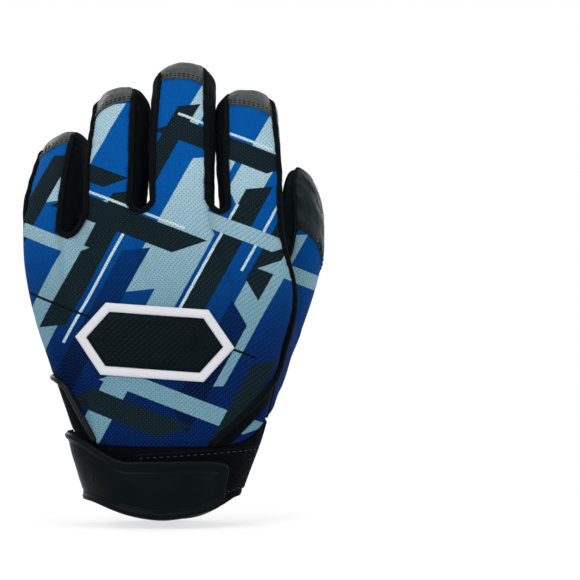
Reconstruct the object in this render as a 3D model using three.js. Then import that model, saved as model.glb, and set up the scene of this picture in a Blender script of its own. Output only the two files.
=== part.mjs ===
// A left-hand batting glove, worn upright as on a hand: fingers along +Z, back of the hand towards -Y,
// palm towards +Y, thumb towards +X. Millimetres and degrees. The origin is the middle of the wrist mouth.
// Every panel is a sewn shell. Panels that meet at a seam are cut from one surface, a seam gap apart.
import * as THREE from "three";

// Cloth, leather and seams
const CLOTH = 1.2; // wall of the stretch cloth and of the leather
const CUFF_WALL = 1.9; // wall of the knitted cuff
const SEAM = 0.36; // gap that a seam leaves between two panels
const PIPING_R = 1.35; // radius of the cord in the bound edge seams of the hand
const FINGER_PIPING_R = 0.75; // radius of the cord along the edges of a finger's back

// The main sizes, from which the shares below are taken
const HAND_WIDTH = 103; // across the knuckles
const HAND_LENGTH = 122.5; // from the wrist mouth to the knuckles
const HAND_DEPTH = 38; // from the back to the palm
const FINGER_LENGTH = 62; // of the middle finger, from its root to its tip

// The hand, as stations along Z: the left and right edges, their depths, and how far back and palm swell
const HAND_STATIONS = [
  { z: 0, left: -0.257, right: 0.248, yLeft: 0, yRight: 0, back: 0.513, palm: 0.487 },
  { z: 0.147, left: -0.296, right: 0.311, yLeft: 0, yRight: 0, back: 0.513, palm: 0.487 },
  { z: 0.294, left: -0.352, right: 0.374, yLeft: 0.013, yRight: 0, back: 0.513, palm: 0.487 },
  { z: 0.522, left: -0.445, right: 0.439, yLeft: 0.039, yRight: -0.013, back: 0.5, palm: 0.487 },
  { z: 0.702, left: -0.511, right: 0.488, yLeft: 0.066, yRight: -0.053, back: 0.447, palm: 0.421 },
  { z: 0.931, left: -0.542, right: 0.458, yLeft: 0.079, yRight: -0.184, back: 0.355, palm: 0.342 },
].map((s) => ({
  z: s.z * HAND_LENGTH,
  left: s.left * HAND_WIDTH,
  right: s.right * HAND_WIDTH,
  yLeft: s.yLeft * HAND_DEPTH,
  yRight: s.yRight * HAND_DEPTH,
  back: s.back * HAND_DEPTH,
  palm: s.palm * HAND_DEPTH,
}));
const HAND_ROUNDNESS = 2.35; // exponent of the hand's cross-section
const KNUCKLE_HEIGHT = 34; // height over which the hand's oval turns into four finger roots
const CUFF_TOP = 36; // height of the seam between the cuff and the panels, on the palm
const CUFF_DIP = 5.5; // how much lower that seam is in the middle of the back
const CUFF_CORNER = 5; // and how much higher at the thumb's side
const CUFF_RISE = 9; // how far the mouth's edge rises from its middle to the little finger's side
const CUFF_THUMB_RISE = 10.4; // and to the thumb's side
const CUFF_BACK_RISE = 2.4; // how much higher that edge is on the back than on the palm
const VENT_HEIGHT = 22; // height of the wrist vent on the little-finger side
const VENT_TOP = CUFF_TOP + VENT_HEIGHT;
const VENT_ARCH = 5; // height of its rounded top
const VENT_FROM = 0.115; // share of the back, from its left edge, that the vent takes under that top
const VENT_WIDTH = 0.195; // share that it takes at the cuff
const SIDE_SEAM_TOP = 64; // height where the back's right seam leaves the hand's side for the wrist
const SIDE_SEAM_FOOT = 30; // height where it has come furthest
const SIDE_CUT = 0.33; // share of the back that lies to its right there
const SIDE_BAND = 0.085; // share that the black band beside that seam takes
const THENAR_DEPTH = 0.45; // share of the palm that the thumb's seam takes at its deepest
const THENAR_FOOT = 0.08; // how much of that curve is cut off by the cuff
const THUMB_CROTCH = 0.792 * HAND_LENGTH; // height of the web between thumb and palm

// The four fingers, from the little finger to the index finger
const FINGERS = [
  { name: "pinky", x: -0.426, y: 0.15, z: 0.931, half: 0.1136, deep: 0.266, length: 0.76 },
  { name: "ring", x: -0.1786, y: -0.008, z: 1.012, half: 0.1136, deep: 0.284, length: 0.863 },
  { name: "middle", x: 0.067, y: -0.085, z: 1.033, half: 0.1255, deep: 0.295, length: 1 },
  { name: "index", x: 0.326, y: -0.026, z: 1.009, half: 0.1252, deep: 0.295, length: 0.841 },
].map((f) => ({
  ...f,
  x: f.x * HAND_WIDTH,
  y: f.y * HAND_DEPTH,
  z: f.z * HAND_LENGTH,
  half: f.half * HAND_WIDTH,
  deep: f.deep * HAND_DEPTH,
  length: f.length * FINGER_LENGTH,
}));
// How each finger leans sideways, how its section is rolled, the plane it curls in and the plane it folds in,
// how far its tip curls, and how much narrower it is at its tip and at its root
const FINGER_TURNS = [
  { lean: 2.5, roll: -39, curl: -7, flexTo: 8, tipCurl: 74, taper: 0.86, neck: 1 },
  { lean: -1.5, roll: -22, curl: -5, flexTo: 6, tipCurl: 60, taper: 0.92, neck: 0.93 },
  { lean: -1, roll: -3, curl: -2, flexTo: 3, tipCurl: 60, taper: 0.95, neck: 0.98 },
  { lean: -1, roll: 10, curl: 3, flexTo: 2.4, tipCurl: 60, taper: 0.96, neck: 0.93 },
];
FINGERS.forEach((finger, i) => Object.assign(finger, FINGER_TURNS[i]));
const FINGER_ROUNDNESS = { back: 3.4, palm: 2.3, tip: 2.15 }; // exponents of its section: the lower, the rounder
const NECK_LENGTH = 16; // length over which a finger widens from its root
const CURL_ROOT = 8; // lean towards the palm at a finger's root
const TIP_DOME = 10.5; // length of the rounded tip
const TIP_FLAP = 4.5; // how far the palm leather rolls over the tip onto the back
const FLEX_LIMIT = 70; // how far a finger folds at its root

// The thumb: its axis from the knuckle to the tip, and the radii of its tube
const inHand = (x, y, z) => new THREE.Vector3(x * HAND_WIDTH, y * HAND_DEPTH, z * HAND_LENGTH);
const THUMB_KNUCKLE = inHand(0.4223, 0.5526, 0.6694);
const THUMB_MIDDLE = inHand(0.5223, 0.7105, 0.898);
const THUMB_TIP = inHand(0.5107, 0.8158, 1.151);
const THUMB_ROOT_AXIS = new THREE.Vector3(0.45, 0.55, 0.7).normalize();
const THUMB_INNER = new THREE.Vector3(-0.63, -0.77, 0); // the side that faces the index finger
const THUMB_ROOT_R = { inner: 12.4, outer: 11.6 };
const THUMB_TIP_R = { inner: 9.3, outer: 8.4 };
const THUMB_DOME = 0.62; // share of the axis where the tip starts to close
const THUMB_CAP_INNER = 0.58; // share of the axis where the leather cap starts, beside the index finger
const THUMB_CAP_OUTER = 0.34; // and on the outer side
const THUMB_SPREAD_LIMIT = 30; // how far the thumb spreads outwards

// The wrist strap and its hook-and-loop closure
const STRAP_TOP_ROOT = 37; // height of its upper edge at the root, in the middle and at the tab's end
const STRAP_TOP_MIDDLE = 25.8;
const STRAP_TOP_END = 26.2;
const STRAP_BOTTOM = 0.5; // height of its lower edge above the mouth's edge
const STRAP_ROOT = 0.05; // share of the back, from its left edge, where the strap is sewn on
const STRAP_END = 0.77; // share where its tab ends
const STRAP_WEBBING = 0.8;
const STRAP_TAB = 1.5;
const STRAP_RIM = 0.6; // height of the moulded rim round the tab
const STRAP_RIM_WIDTH = 2.2;
const HOOK = 0.8; // thickness of the hook patch, and of the loop patch that it grips
const HOOK_FROM = 0.5;
const HOOK_INSET = 4; // how far inside the strap's edges it is sewn
const LOOP_FROM = 0.36;
const LOOP_TO = 0.94;
const LOOP_HIGH = 28; // height of its upper edge at the strap's middle, and how far it rises to its far end
const LOOP_RISE = 3.2;
const LOOP_LOW = 3.6; // height of its lower edge above the mouth's edge
const STRAP_LIMIT = 110; // how far the strap peels open

// The badge on the back of the hand: a long hexagon
const BADGE = { x: -3.3, z: 71.5, half: 31, high: 14, slant: 11, tilt: -4 };
const BADGE_RIM = 3.6;
const BADGE_THICK = 0.8;

const COLOURS = {
  print: 0x1c5fa8,
  leather: 0x2b2e2f,
  palm: 0x191b1c,
  stretch: 0x111314,
  knit: 0x0d0e0f,
  rubber: 0x161a1c,
  hook: 0x0b0b0c,
  rim: 0xd9dadf,
};

// Small helpers
const rad = THREE.MathUtils.degToRad;
const lerp = THREE.MathUtils.lerp;
const smooth = (t) => THREE.MathUtils.smoothstep(t, 0, 1);
const signedPower = (t, e) => Math.sign(t) * Math.abs(t) ** e;
const steps = (n, from, to) => Array.from({ length: n + 1 }, (_, i) => lerp(from, to, i / n));

// A value of the hand's stations at a height, on a smooth curve through them
function station(key, z) {
  const s = HAND_STATIONS;
  let i = s.findIndex((row) => row.z > z) - 1;
  if (i < -1) i = s.length - 2;
  i = Math.max(0, Math.min(s.length - 2, i));
  const slope = (k) => {
    const low = Math.max(0, k - 1);
    const high = Math.min(s.length - 1, k + 1);
    return (s[high][key] - s[low][key]) / (s[high].z - s[low].z);
  };
  const span = s[i + 1].z - s[i].z;
  const t = (z - s[i].z) / span;
  if (t < 0) return s[0][key] + slope(0) * t * span;
  if (t > 1) return s[i + 1][key] + slope(i + 1) * (t - 1) * span;
  const rise = s[i + 1][key] - s[i][key];
  const a = slope(i) * span - rise;
  const b = rise - slope(i + 1) * span;
  return s[i][key] + rise * t + t * (1 - t) * (a * (1 - t) + b * t);
}

// A point of the hand's oval: side -1 is the back and +1 the palm, and the angle runs from the left edge to the right
function ovalAt(side, angle, z) {
  const left = station("left", z);
  const right = station("right", z);
  const e = 2 / HAND_ROUNDNESS;
  const x = (left + right) / 2 - ((right - left) / 2) * signedPower(Math.cos(angle), e);
  const share = (x - left) / (right - left);
  const middle = lerp(station("yLeft", z), station("yRight", z), share);
  const swell = side < 0 ? -station("back", z) : station("palm", z);
  return new THREE.Vector3(x, middle + swell * Math.abs(Math.sin(angle)) ** e, z);
}

// A point of the oval by the share of its length, from the left edge to the right. Past either edge it goes round.
const OVAL_STEPS = 72;
const ovalLengths = new Map();
function oval(side, share, z) {
  if (share < 0) return oval(-side, -share, z);
  if (share > 1) return oval(-side, 2 - share, z);
  const key = side + ":" + z.toFixed(3);
  if (!ovalLengths.has(key)) {
    const points = steps(OVAL_STEPS, 0, Math.PI).map((angle) => ovalAt(side, angle, z));
    const run = [0];
    for (let i = 1; i <= OVAL_STEPS; i++) run.push(run[i - 1] + points[i].distanceTo(points[i - 1]));
    ovalLengths.set(key, run);
  }
  const run = ovalLengths.get(key);
  const goal = share * run[OVAL_STEPS];
  let i = run.findIndex((length) => length >= goal);
  i = Math.max(1, i);
  const angle = ((i - 1 + (goal - run[i - 1]) / (run[i] - run[i - 1])) * Math.PI) / OVAL_STEPS;
  return ovalAt(side, angle, z);
}

// A finger's surface. x and y are the sides of a square tube, -1 to 1, with y = -1 on the back, and dome is 0 on
// the tube and up to 1 on the tip. The square is rounded by its norm, tapered, curled, rolled and leaned.
const CURL_STEPS = 24;
function fingerAxis(finger, along) {
  const tube = { d: 0, z: 0 };
  const lean = (s) => rad(lerp(CURL_ROOT, finger.tipCurl, s / (finger.length + TIP_DOME)));
  for (let i = 0; i < CURL_STEPS; i++) {
    const angle = lean(((i + 0.5) / CURL_STEPS) * along);
    tube.d += (Math.sin(angle) * along) / CURL_STEPS;
    tube.z += (Math.cos(angle) * along) / CURL_STEPS;
  }
  return { ...tube, angle: lean(along) };
}

const tubeLength = (finger) => finger.length - TIP_DOME;

// The section is squarer on the back than on the palm side, and round at the tip
function fingerRoundness(finger, y, along) {
  const root = lerp(FINGER_ROUNDNESS.back, FINGER_ROUNDNESS.palm, smooth((y + 1) / 2));
  return lerp(root, FINGER_ROUNDNESS.tip, smooth(along / tubeLength(finger)));
}

function fingerPoint(finger, x, y, along, dome = 0) {
  const p = fingerRoundness(finger, y, along);
  const norm = (Math.abs(x) ** p + Math.abs(y) ** p + Math.abs(dome) ** p) ** (1 / p);
  const reach = along + (TIP_DOME * dome) / norm;
  const taper = lerp(1, finger.taper, Math.min(1, Math.max(0, reach / finger.length)));
  const twist = rad(finger.roll - finger.curl);
  const neck = lerp(finger.neck, 1, smooth(reach / NECK_LENGTH));
  const wide = (finger.half * taper * neck * x) / norm;
  const thick = (finger.deep * taper * y) / norm;
  const side = wide * Math.cos(twist) - thick * Math.sin(twist);
  const deep = wide * Math.sin(twist) + thick * Math.cos(twist);
  const axis = fingerAxis(finger, reach);
  const towardsPalm = axis.d + deep * Math.cos(axis.angle);
  const up = axis.z - deep * Math.sin(axis.angle);
  const plane = rad(finger.curl);
  return new THREE.Vector3(
    side * Math.cos(plane) - towardsPalm * Math.sin(plane),
    side * Math.sin(plane) + towardsPalm * Math.cos(plane),
    up,
  )
    .applyAxisAngle(new THREE.Vector3(0, 1, 0), rad(finger.lean))
    .add(new THREE.Vector3(finger.x, finger.y, finger.z));
}

// The strip of leather that runs up a finger's palm side, over its tip and down to the flap on its back
function rollOver(finger, x, run) {
  const tube = tubeLength(finger);
  const top = 2 * finger.deep * finger.taper;
  if (run <= tube) return fingerPoint(finger, x, 1, run);
  if (run <= tube + TIP_DOME) return fingerPoint(finger, x, 1, tube, (run - tube) / TIP_DOME);
  const over = run - tube - TIP_DOME;
  if (over <= top) return fingerPoint(finger, x, 1 - (2 * over) / top, tube, 1);
  const down = over - top;
  if (down <= TIP_DOME) return fingerPoint(finger, x, -1, tube, 1 - down / TIP_DOME);
  return fingerPoint(finger, x, -1, tube - (down - TIP_DOME));
}

const rollOverRows = (finger) => {
  const tube = tubeLength(finger);
  const top = 2 * finger.deep * finger.taper;
  return [
    ...steps(6, SEAM, tube),
    ...steps(3, tube, tube + TIP_DOME).slice(1),
    ...steps(4, tube + TIP_DOME, tube + TIP_DOME + top).slice(1),
    ...steps(3, tube + TIP_DOME + top, tube + 2 * TIP_DOME + top).slice(1),
    tube + 2 * TIP_DOME + top + TIP_FLAP,
  ];
};

const CROTCH_ROUND = 0.4; // how far the panels dip between two finger roots, as a share of the way between them

// The upper edges of the back and of the palm, which follow the finger roots. t runs from 0 to 1, left to right.
function edgePath(pieces) {
  const knots = pieces.map((piece) => [piece(0), piece(1)]).flat();
  const run = [0];
  for (let i = 1; i < knots.length; i++) run.push(run[i - 1] + knots[i].distanceTo(knots[i - 1]));
  const total = run[run.length - 1];
  const shares = run.map((length) => length / total);
  return {
    shares,
    at(t) {
      let i = shares.findIndex((share) => share > t) - 1;
      if (i < 0) i = t < 0.5 ? 0 : shares.length - 2;
      const local = (t - shares[i]) / (shares[i + 1] - shares[i]);
      if (i % 2 === 0) return pieces[i / 2](local);
      const dip = CROTCH_ROUND * knots[i].distanceTo(knots[i + 1]);
      const point = knots[i].clone().lerp(knots[i + 1], local);
      point.z -= 4 * dip * local * (1 - local);
      return point;
    },
  };
}

const rootOf = (finger, x, y) => fingerPoint(finger, x, y, 0);
const [PINKY, RING, MIDDLE, INDEX] = FINGERS;
const BACK_EDGE = edgePath(FINGERS.map((f) => (t) => rootOf(f, lerp(-1, 1, t), -1)));
const PALM_EDGE = edgePath([
  (t) => rootOf(PINKY, -1, lerp(-1, 1, t)),
  ...FINGERS.map((f) => (t) => rootOf(f, lerp(-1, 1, t), 1)),
  (t) => rootOf(INDEX, 1, lerp(1, -1, t)),
]);

// The hand's skin: an oval that turns into the finger roots below their edge
const otherEdge = (edge) => (edge === BACK_EDGE ? PALM_EDGE : BACK_EDGE);
function handSkin(side, edge, share, z) {
  if (share < 0) return handSkin(-side, otherEdge(edge), -share, z);
  if (share > 1) return handSkin(-side, otherEdge(edge), 2 - share, z);
  const root = edge.at(share);
  const blend = smooth((z - root.z + KNUCKLE_HEIGHT) / KNUCKLE_HEIGHT);
  const point = oval(side, share, z);
  point.x = lerp(point.x, root.x, blend);
  point.y = lerp(point.y, root.y, blend);
  return point;
}

function mouthEdge(point) {
  const wrist = HAND_STATIONS[0];
  const rise = point.x < 0 ? CUFF_RISE : CUFF_THUMB_RISE;
  return rise * (point.x / wrist.left) ** 2 + CUFF_BACK_RISE * smooth(-point.y / wrist.back);
}
// The cuff's upper seam, and the height where a panel's line, whose share changes with height, meets it
function cuffTop(side, share) {
  const point = oval(side, share, CUFF_TOP);
  const corner = Math.max(0, point.x / station("right", CUFF_TOP)) ** 12;
  return CUFF_TOP + CUFF_CORNER * corner - CUFF_DIP * smooth(-point.y / station("back", CUFF_TOP));
}
function footOf(side, shareAt) {
  let z = CUFF_TOP;
  for (let k = 0; k < 4; k++) z = cuffTop(side, shareAt(z)) + SEAM;
  return z;
}

// The back's left seam is the wrist vent's edge. Its right seam leaves the hand's side and slants to the cuff.
const ventFoot = cuffTop(-1, VENT_WIDTH);
const archFoot = VENT_TOP - VENT_ARCH;
function ventShare(z) {
  const slant = lerp(VENT_WIDTH, VENT_FROM, (z - ventFoot) / (archFoot - ventFoot));
  const arch = Math.min(1, Math.max(0, (z - archFoot) / VENT_ARCH));
  return slant * Math.sqrt(1 - arch ** 2);
}
// The height of that edge at a share of the back
function ventEdge(share) {
  let low = ventFoot;
  let high = VENT_TOP;
  for (let k = 0; k < 30; k++) {
    const z = (low + high) / 2;
    if (ventShare(z) > share) low = z;
    else high = z;
  }
  return low;
}
function sideShare(z) {
  const down = (SIDE_SEAM_TOP - z) / (SIDE_SEAM_TOP - SIDE_SEAM_FOOT);
  return 1 - SIDE_CUT * Math.max(0, down) ** 1.2;
}
function backSkin(share, up) {
  const shareAt = (z) => lerp(share, share * sideShare(z), smooth((share - 0.4) / 0.6));
  const low = share < VENT_WIDTH ? ventEdge(share) + SEAM : footOf(-1, shareAt);
  const high = BACK_EDGE.at(Math.min(1, Math.max(0, share))).z - SEAM;
  const z = lerp(low, high, up);
  return handSkin(-1, BACK_EDGE, shareAt(z), z);
}

// The thumb's seam on the palm, as the share of the palm that lies to its left
function thenarShare(z) {
  const t = Math.max(0, (z - CUFF_TOP) / (THUMB_CROTCH - CUFF_TOP));
  if (t >= 1) return 1;
  return 1 - THENAR_DEPTH * Math.sin(Math.PI * lerp(THENAR_FOOT, 1, t)) ** 0.75;
}

function palmSkin(share, up) {
  const shareAt = (z) => share * thenarShare(z);
  const high = PALM_EDGE.at(Math.min(1, Math.max(0, share))).z - SEAM;
  const z = lerp(footOf(1, shareAt), high, up);
  return handSkin(1, PALM_EDGE, shareAt(z), z);
}

// A panel: a closed shell under a surface, where surface(u, v) is its outer face. It can be lifted off the surface,
// and its outer face can rise above its wall.
function normalAt(surface, u, v, flip) {
  const h = 1e-3;
  const du = surface(u + h, v).sub(surface(u - h, v));
  const dv = surface(u, v + h).sub(surface(u, v - h));
  return du.cross(dv).normalize().multiplyScalar(flip ? -1 : 1);
}

function panel(surface, us, vs, { wall = CLOTH, flip = false, lift = () => 0, rise, closed = false } = {}) {
  const outer = [];
  const inner = [];
  for (const u of us)
    for (const v of vs) {
      const point = surface(u, v);
      const normal = normalAt(surface, u, v, flip);
      outer.push(point.clone().addScaledVector(normal, lift(u, v) + (rise ? rise(u, v) : 0)));
      inner.push(point.clone().addScaledVector(normal, lift(u, v) - wall));
    }
  const nu = us.length;
  const nv = vs.length;
  const id = (i, j, layer) => layer * nu * nv + (i % nu) * nv + j;
  const faces = [];
  const quad = (a, b, c, d) => faces.push(a, b, c, a, c, d);
  const last = closed ? nu : nu - 1;
  for (let i = 0; i < last; i++)
    for (let j = 0; j + 1 < nv; j++) {
      quad(id(i, j, 0), id(i + 1, j, 0), id(i + 1, j + 1, 0), id(i, j + 1, 0));
      quad(id(i, j, 1), id(i, j + 1, 1), id(i + 1, j + 1, 1), id(i + 1, j, 1));
    }
  for (let i = 0; i < last; i++) {
    quad(id(i, 0, 0), id(i, 0, 1), id(i + 1, 0, 1), id(i + 1, 0, 0));
    quad(id(i, nv - 1, 0), id(i + 1, nv - 1, 0), id(i + 1, nv - 1, 1), id(i, nv - 1, 1));
  }
  if (!closed)
    for (let j = 0; j + 1 < nv; j++) {
      quad(id(0, j, 0), id(0, j + 1, 0), id(0, j + 1, 1), id(0, j, 1));
      quad(id(nu - 1, j, 0), id(nu - 1, j, 1), id(nu - 1, j + 1, 1), id(nu - 1, j + 1, 0));
    }
  return closedGeometry([...outer, ...inner], faces);
}

// Triangles as a geometry whose faces point out
function closedGeometry(points, faces) {
  let volume = 0;
  for (let k = 0; k < faces.length; k += 3) {
    const [a, b, c] = faces.slice(k, k + 3).map((i) => points[i]);
    volume += a.dot(b.clone().cross(c));
  }
  const turned = volume < 0 ? faces.slice().reverse() : faces;
  const geometry = new THREE.BufferGeometry();
  geometry.setAttribute("position", new THREE.Float32BufferAttribute(points.flatMap((p) => p.toArray()), 3));
  geometry.setIndex(turned);
  geometry.computeVertexNormals();
  return geometry;
}

function piece(parent, name, geometry, colour, roughness = 0.85) {
  const material = new THREE.MeshStandardMaterial({ color: COLOURS[colour], roughness, metalness: 0 });
  const mesh = new THREE.Mesh(geometry, material);
  mesh.name = name;
  parent.add(mesh);
  return mesh;
}

function cord(points, radius) {
  const curve = new THREE.CatmullRomCurve3(points);
  const ring = new THREE.Shape().absarc(0, 0, radius, 0, 2 * Math.PI);
  return new THREE.ExtrudeGeometry(ring, { steps: 2 * points.length, curveSegments: 4, extrudePath: curve });
}

const glove = new THREE.Group();
glove.name = "batting_glove";
const hand = new THREE.Group();
hand.name = "hand";
glove.add(hand);

// The back of the hand and the palm
const BACK_STEPS = 5;
function seamShares(edge, perPiece) {
  const shares = [];
  for (let i = 0; i + 1 < edge.shares.length; i++) {
    const count = i % 2 === 0 ? perPiece : 4;
    shares.push(...steps(count, edge.shares[i], edge.shares[i + 1]).slice(0, count));
  }
  return [...shares, 1];
}

const EDGE_INSET = 0.004; // share of a panel's width that its side seam takes
const inset = (shares) => shares.map((t) => lerp(EDGE_INSET, 1 - EDGE_INSET, t));

piece(hand, "back_panel", panel(backSkin, inset(seamShares(BACK_EDGE, BACK_STEPS)), steps(10, 0, 1)), "print");

// The palm's rows are set out so that one of them meets the crotch of the thumb
const ARM_STEPS = 7;
const thenarFoot = footOf(1, thenarShare);
const crotchRow = (THUMB_CROTCH - thenarFoot) / (PALM_EDGE.at(1).z - SEAM - thenarFoot);
const palmRows = [...steps(ARM_STEPS, 0, crotchRow), ...steps(3, crotchRow, 1).slice(1)];
piece(hand, "palm_panel", panel(palmSkin, inset(seamShares(PALM_EDGE, 4)), palmRows, { flip: true }), "palm", 0.55);

// The stretch insert that closes the wrist vent, and the cord round its edge
function ventSkin(across, up) {
  const shareAt = (z) => lerp(EDGE_INSET, ventShare(z) - 2.5 * EDGE_INSET, across);
  const z = lerp(footOf(-1, shareAt), VENT_TOP - 3 * SEAM, up);
  return handSkin(-1, BACK_EDGE, shareAt(z), z);
}
piece(hand, "vent_gusset", panel(ventSkin, steps(3, 0, 1), steps(5, 0, 1)), "stretch");

// Right of the back's slanted seam: a black band, and the printed strip that joins the thumb's root
const BAND_SHORT = 4; // how far the band stops short of the top of the slanted seam
const STRIP_SHORT = 14; // and the strip
function besideSeam(from, to, short) {
  return (across, up) => {
    const shareAt = (z) => lerp(Math.min(1, from(z)) + EDGE_INSET, Math.min(1, to(z)) - EDGE_INSET, across);
    const z = lerp(footOf(-1, shareAt), SIDE_SEAM_TOP - short, up);
    return handSkin(-1, BACK_EDGE, shareAt(z), z);
  };
}
const bandShare = (z) => sideShare(z) + SIDE_BAND;
piece(hand, "side_band", panel(besideSeam(sideShare, bandShare, BAND_SHORT), steps(3, 0, 1), steps(6, 0, 1)), "stretch");
piece(hand, "side_strip", panel(besideSeam(bandShare, () => 1, STRIP_SHORT), steps(4, 0, 1), steps(5, 0, 1)), "print");

// The webs between the finger roots: the forks of the fourchettes
const WEB_INSET = 2.3; // how far inside the finger roots a web is sewn
const WEB_SAG = 1.2; // how far it hangs through in its middle
const WEB_REACH = 0.7; // share of a finger's depth that it takes to either side
const WALL_START = 3 * SEAM; // how far above its root a finger's side wall starts
function webSkin(left, right) {
  return (across, deep) => {
    const shrink = (finger) => 1 - WEB_INSET / finger.deep;
    const from = rootOf({ ...left, half: left.half - WEB_INSET, deep: left.deep * shrink(left) }, 1, deep);
    const to = rootOf({ ...right, half: right.half - WEB_INSET, deep: right.deep * shrink(right) }, -1, deep);
    const rise = from.z < to.z ? signedPower(across, 2.4) : 1 - signedPower(1 - across, 2.4);
    const point = from.clone().lerp(to, across);
    const dip = CROTCH_ROUND * (from.distanceTo(to) - 2 * WEB_INSET);
    const sag = lerp(WEB_SAG, dip, (deep / WEB_REACH) ** 2);
    point.z = lerp(from.z, to.z, rise) + WALL_START - 1.4 * SEAM - sag * 4 * across * (1 - across);
    return point;
  };
}
FINGERS.slice(0, 3).forEach((left, i) => {
  const right = FINGERS[i + 1];
  const web = panel(webSkin(left, right), steps(4, 0, 1), steps(4, -WEB_REACH, WEB_REACH));
  piece(hand, `web_${left.name}_${right.name}`, web, "stretch");
});

// The cuff: a knitted band round the wrist, cut at both side seams, and its bound hem
const HEM = 3.2;
function cuffSkin(side) {
  return (share, up) => {
    const foot = mouthEdge(oval(side, share, HEM)) + HEM + SEAM;
    return oval(side, share, lerp(foot, cuffTop(side, share) - SEAM, up));
  };
}
function hemSkin(share, up) {
  const turn = share < 1 ? oval(-1, share, HEM) : oval(1, 2 - share, HEM);
  const z = mouthEdge(turn) + HEM * up;
  return share < 1 ? oval(-1, share, z) : oval(1, 2 - share, z);
}
const CUFF_SHARES = inset(steps(20, 0, 1));
piece(hand, "cuff_back_band", panel(cuffSkin(-1), CUFF_SHARES, steps(3, 0, 1), { wall: CUFF_WALL }), "knit", 0.95);
piece(
  hand,
  "cuff_palm_band",
  panel(cuffSkin(1), CUFF_SHARES, steps(3, 0, 1), { wall: CUFF_WALL, flip: true }),
  "knit",
  0.95,
);
piece(
  hand,
  "cuff_hem",
  panel(hemSkin, inset(steps(36, 0, 2).map((t) => t / 2)).map((t) => 2 * t), [0, 1], { wall: CUFF_WALL }),
  "knit",
  0.95,
);

// The fingers: a printed back, a leather palm side that rolls over the tip, and a side wall on each side
const SIDE_INSET = 0.035; // share of a wall's width that each of its seams takes
const fingerGroups = {};
const acrossFinger = steps(5, -1 + SIDE_INSET, 1 - SIDE_INSET);
for (const finger of FINGERS) {
  const group = new THREE.Group();
  group.name = finger.name;
  hand.add(group);
  fingerGroups[finger.name] = group;
  const tube = tubeLength(finger);
  const back = (x, along) => fingerPoint(finger, x, -1, along);
  const backRows = steps(6, SEAM, tube - TIP_FLAP - SEAM);
  piece(group, `${finger.name}_back`, panel(back, acrossFinger, backRows), "print");
  const leather = panel((x, run) => rollOver(finger, x, run), acrossFinger, rollOverRows(finger), { flip: true });
  piece(group, `${finger.name}_palm_leather`, leather, "palm", 0.5);
  for (const side of [-1, 1]) {
    const wall = (y, run) => {
      const dome = Math.max(0, run - tube) / TIP_DOME;
      return fingerPoint(finger, side, y, Math.min(run, tube), dome);
    };
    const rows = [...steps(6, WALL_START, tube), ...steps(3, tube, tube + TIP_DOME * (1 - SIDE_INSET)).slice(1)];
    const outside = (finger === PINKY && side < 0) || (finger === INDEX && side > 0);
    const name = outside ? `${finger.name}_outer_side` : `${finger.name}_fourchette_${side < 0 ? "left" : "right"}`;
    const shell = panel(wall, steps(4, -1 + SIDE_INSET, 1 - SIDE_INSET), rows, { flip: side < 0 });
    piece(group, name, shell, outside ? "palm" : "stretch", outside ? 0.55 : 0.95);
    const edge = (along) => {
      const onBack = (x, s) => fingerPoint(finger, x, -1, s);
      const out = normalAt(onBack, side, along, false);
      return fingerPoint(finger, side, -1, along).addScaledVector(out, FINGER_PIPING_R + SEAM);
    };
    const piping = cord(steps(6, 2 * WALL_START, tube).map(edge), FINGER_PIPING_R);
    piece(group, `${finger.name}_piping_${side < 0 ? "left" : "right"}`, piping, "leather", 0.7);
  }
}

// The thumb: a sleeve from the armhole between the thumb's palm seam and the back's right seam, then a tube
const thumb = new THREE.Group();
thumb.name = "thumb";
hand.add(thumb);
const thumbAxis = new THREE.CatmullRomCurve3([THUMB_KNUCKLE, THUMB_MIDDLE, THUMB_TIP], false, "centripetal");

function thumbFrame(along) {
  const t = Math.min(1, Math.max(0, along));
  const axis = thumbAxis.getTangent(t);
  const inner = THUMB_INNER.clone().addScaledVector(axis, -THUMB_INNER.dot(axis)).normalize();
  return { at: thumbAxis.getPoint(t), axis, inner, outer: axis.clone().cross(inner) };
}

// girth runs round the thumb: 0 faces the index finger, 0.25 the back, 0.5 outwards and 0.75 the palm
function thumbTube(girth, along) {
  const { at, axis, inner, outer } = thumbFrame(along);
  const close = Math.max(0, (along - THUMB_DOME) / (1 - THUMB_DOME));
  const size = Math.sqrt(Math.max(0, 1 - close ** 2.2));
  const neck = smooth(along / THUMB_DOME);
  const angle = 2 * Math.PI * girth;
  return at
    .addScaledVector(inner, Math.cos(angle) * size * lerp(THUMB_ROOT_R.inner, THUMB_TIP_R.inner, neck))
    .addScaledVector(outer, Math.sin(angle) * size * lerp(THUMB_ROOT_R.outer, THUMB_TIP_R.outer, neck))
    .addScaledVector(axis, Math.min(0, along));
}

// The armhole in sixteen parts: seven down the back's seam, two along the cuff's edge, seven up the palm's seam
const ARM_PARTS = 2 * ARM_STEPS + 2;
function armhole(girth) {
  const at = (girth - Math.floor(girth)) * ARM_PARTS;
  const sideFoot = cuffTop(1, 1) + SEAM;
  if (at <= ARM_STEPS) return handSkin(1, PALM_EDGE, 1, lerp(THUMB_CROTCH, sideFoot, at / ARM_STEPS));
  const edge = (at - ARM_STEPS) / 2;
  const share = lerp(1, thenarShare(thenarFoot), edge);
  if (edge <= 1) return handSkin(1, PALM_EDGE, share, cuffTop(1, share) + SEAM);
  const z = lerp(thenarFoot, THUMB_CROTCH, (at - ARM_STEPS - 2) / ARM_STEPS);
  return handSkin(1, PALM_EDGE, thenarShare(z), z);
}

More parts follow.
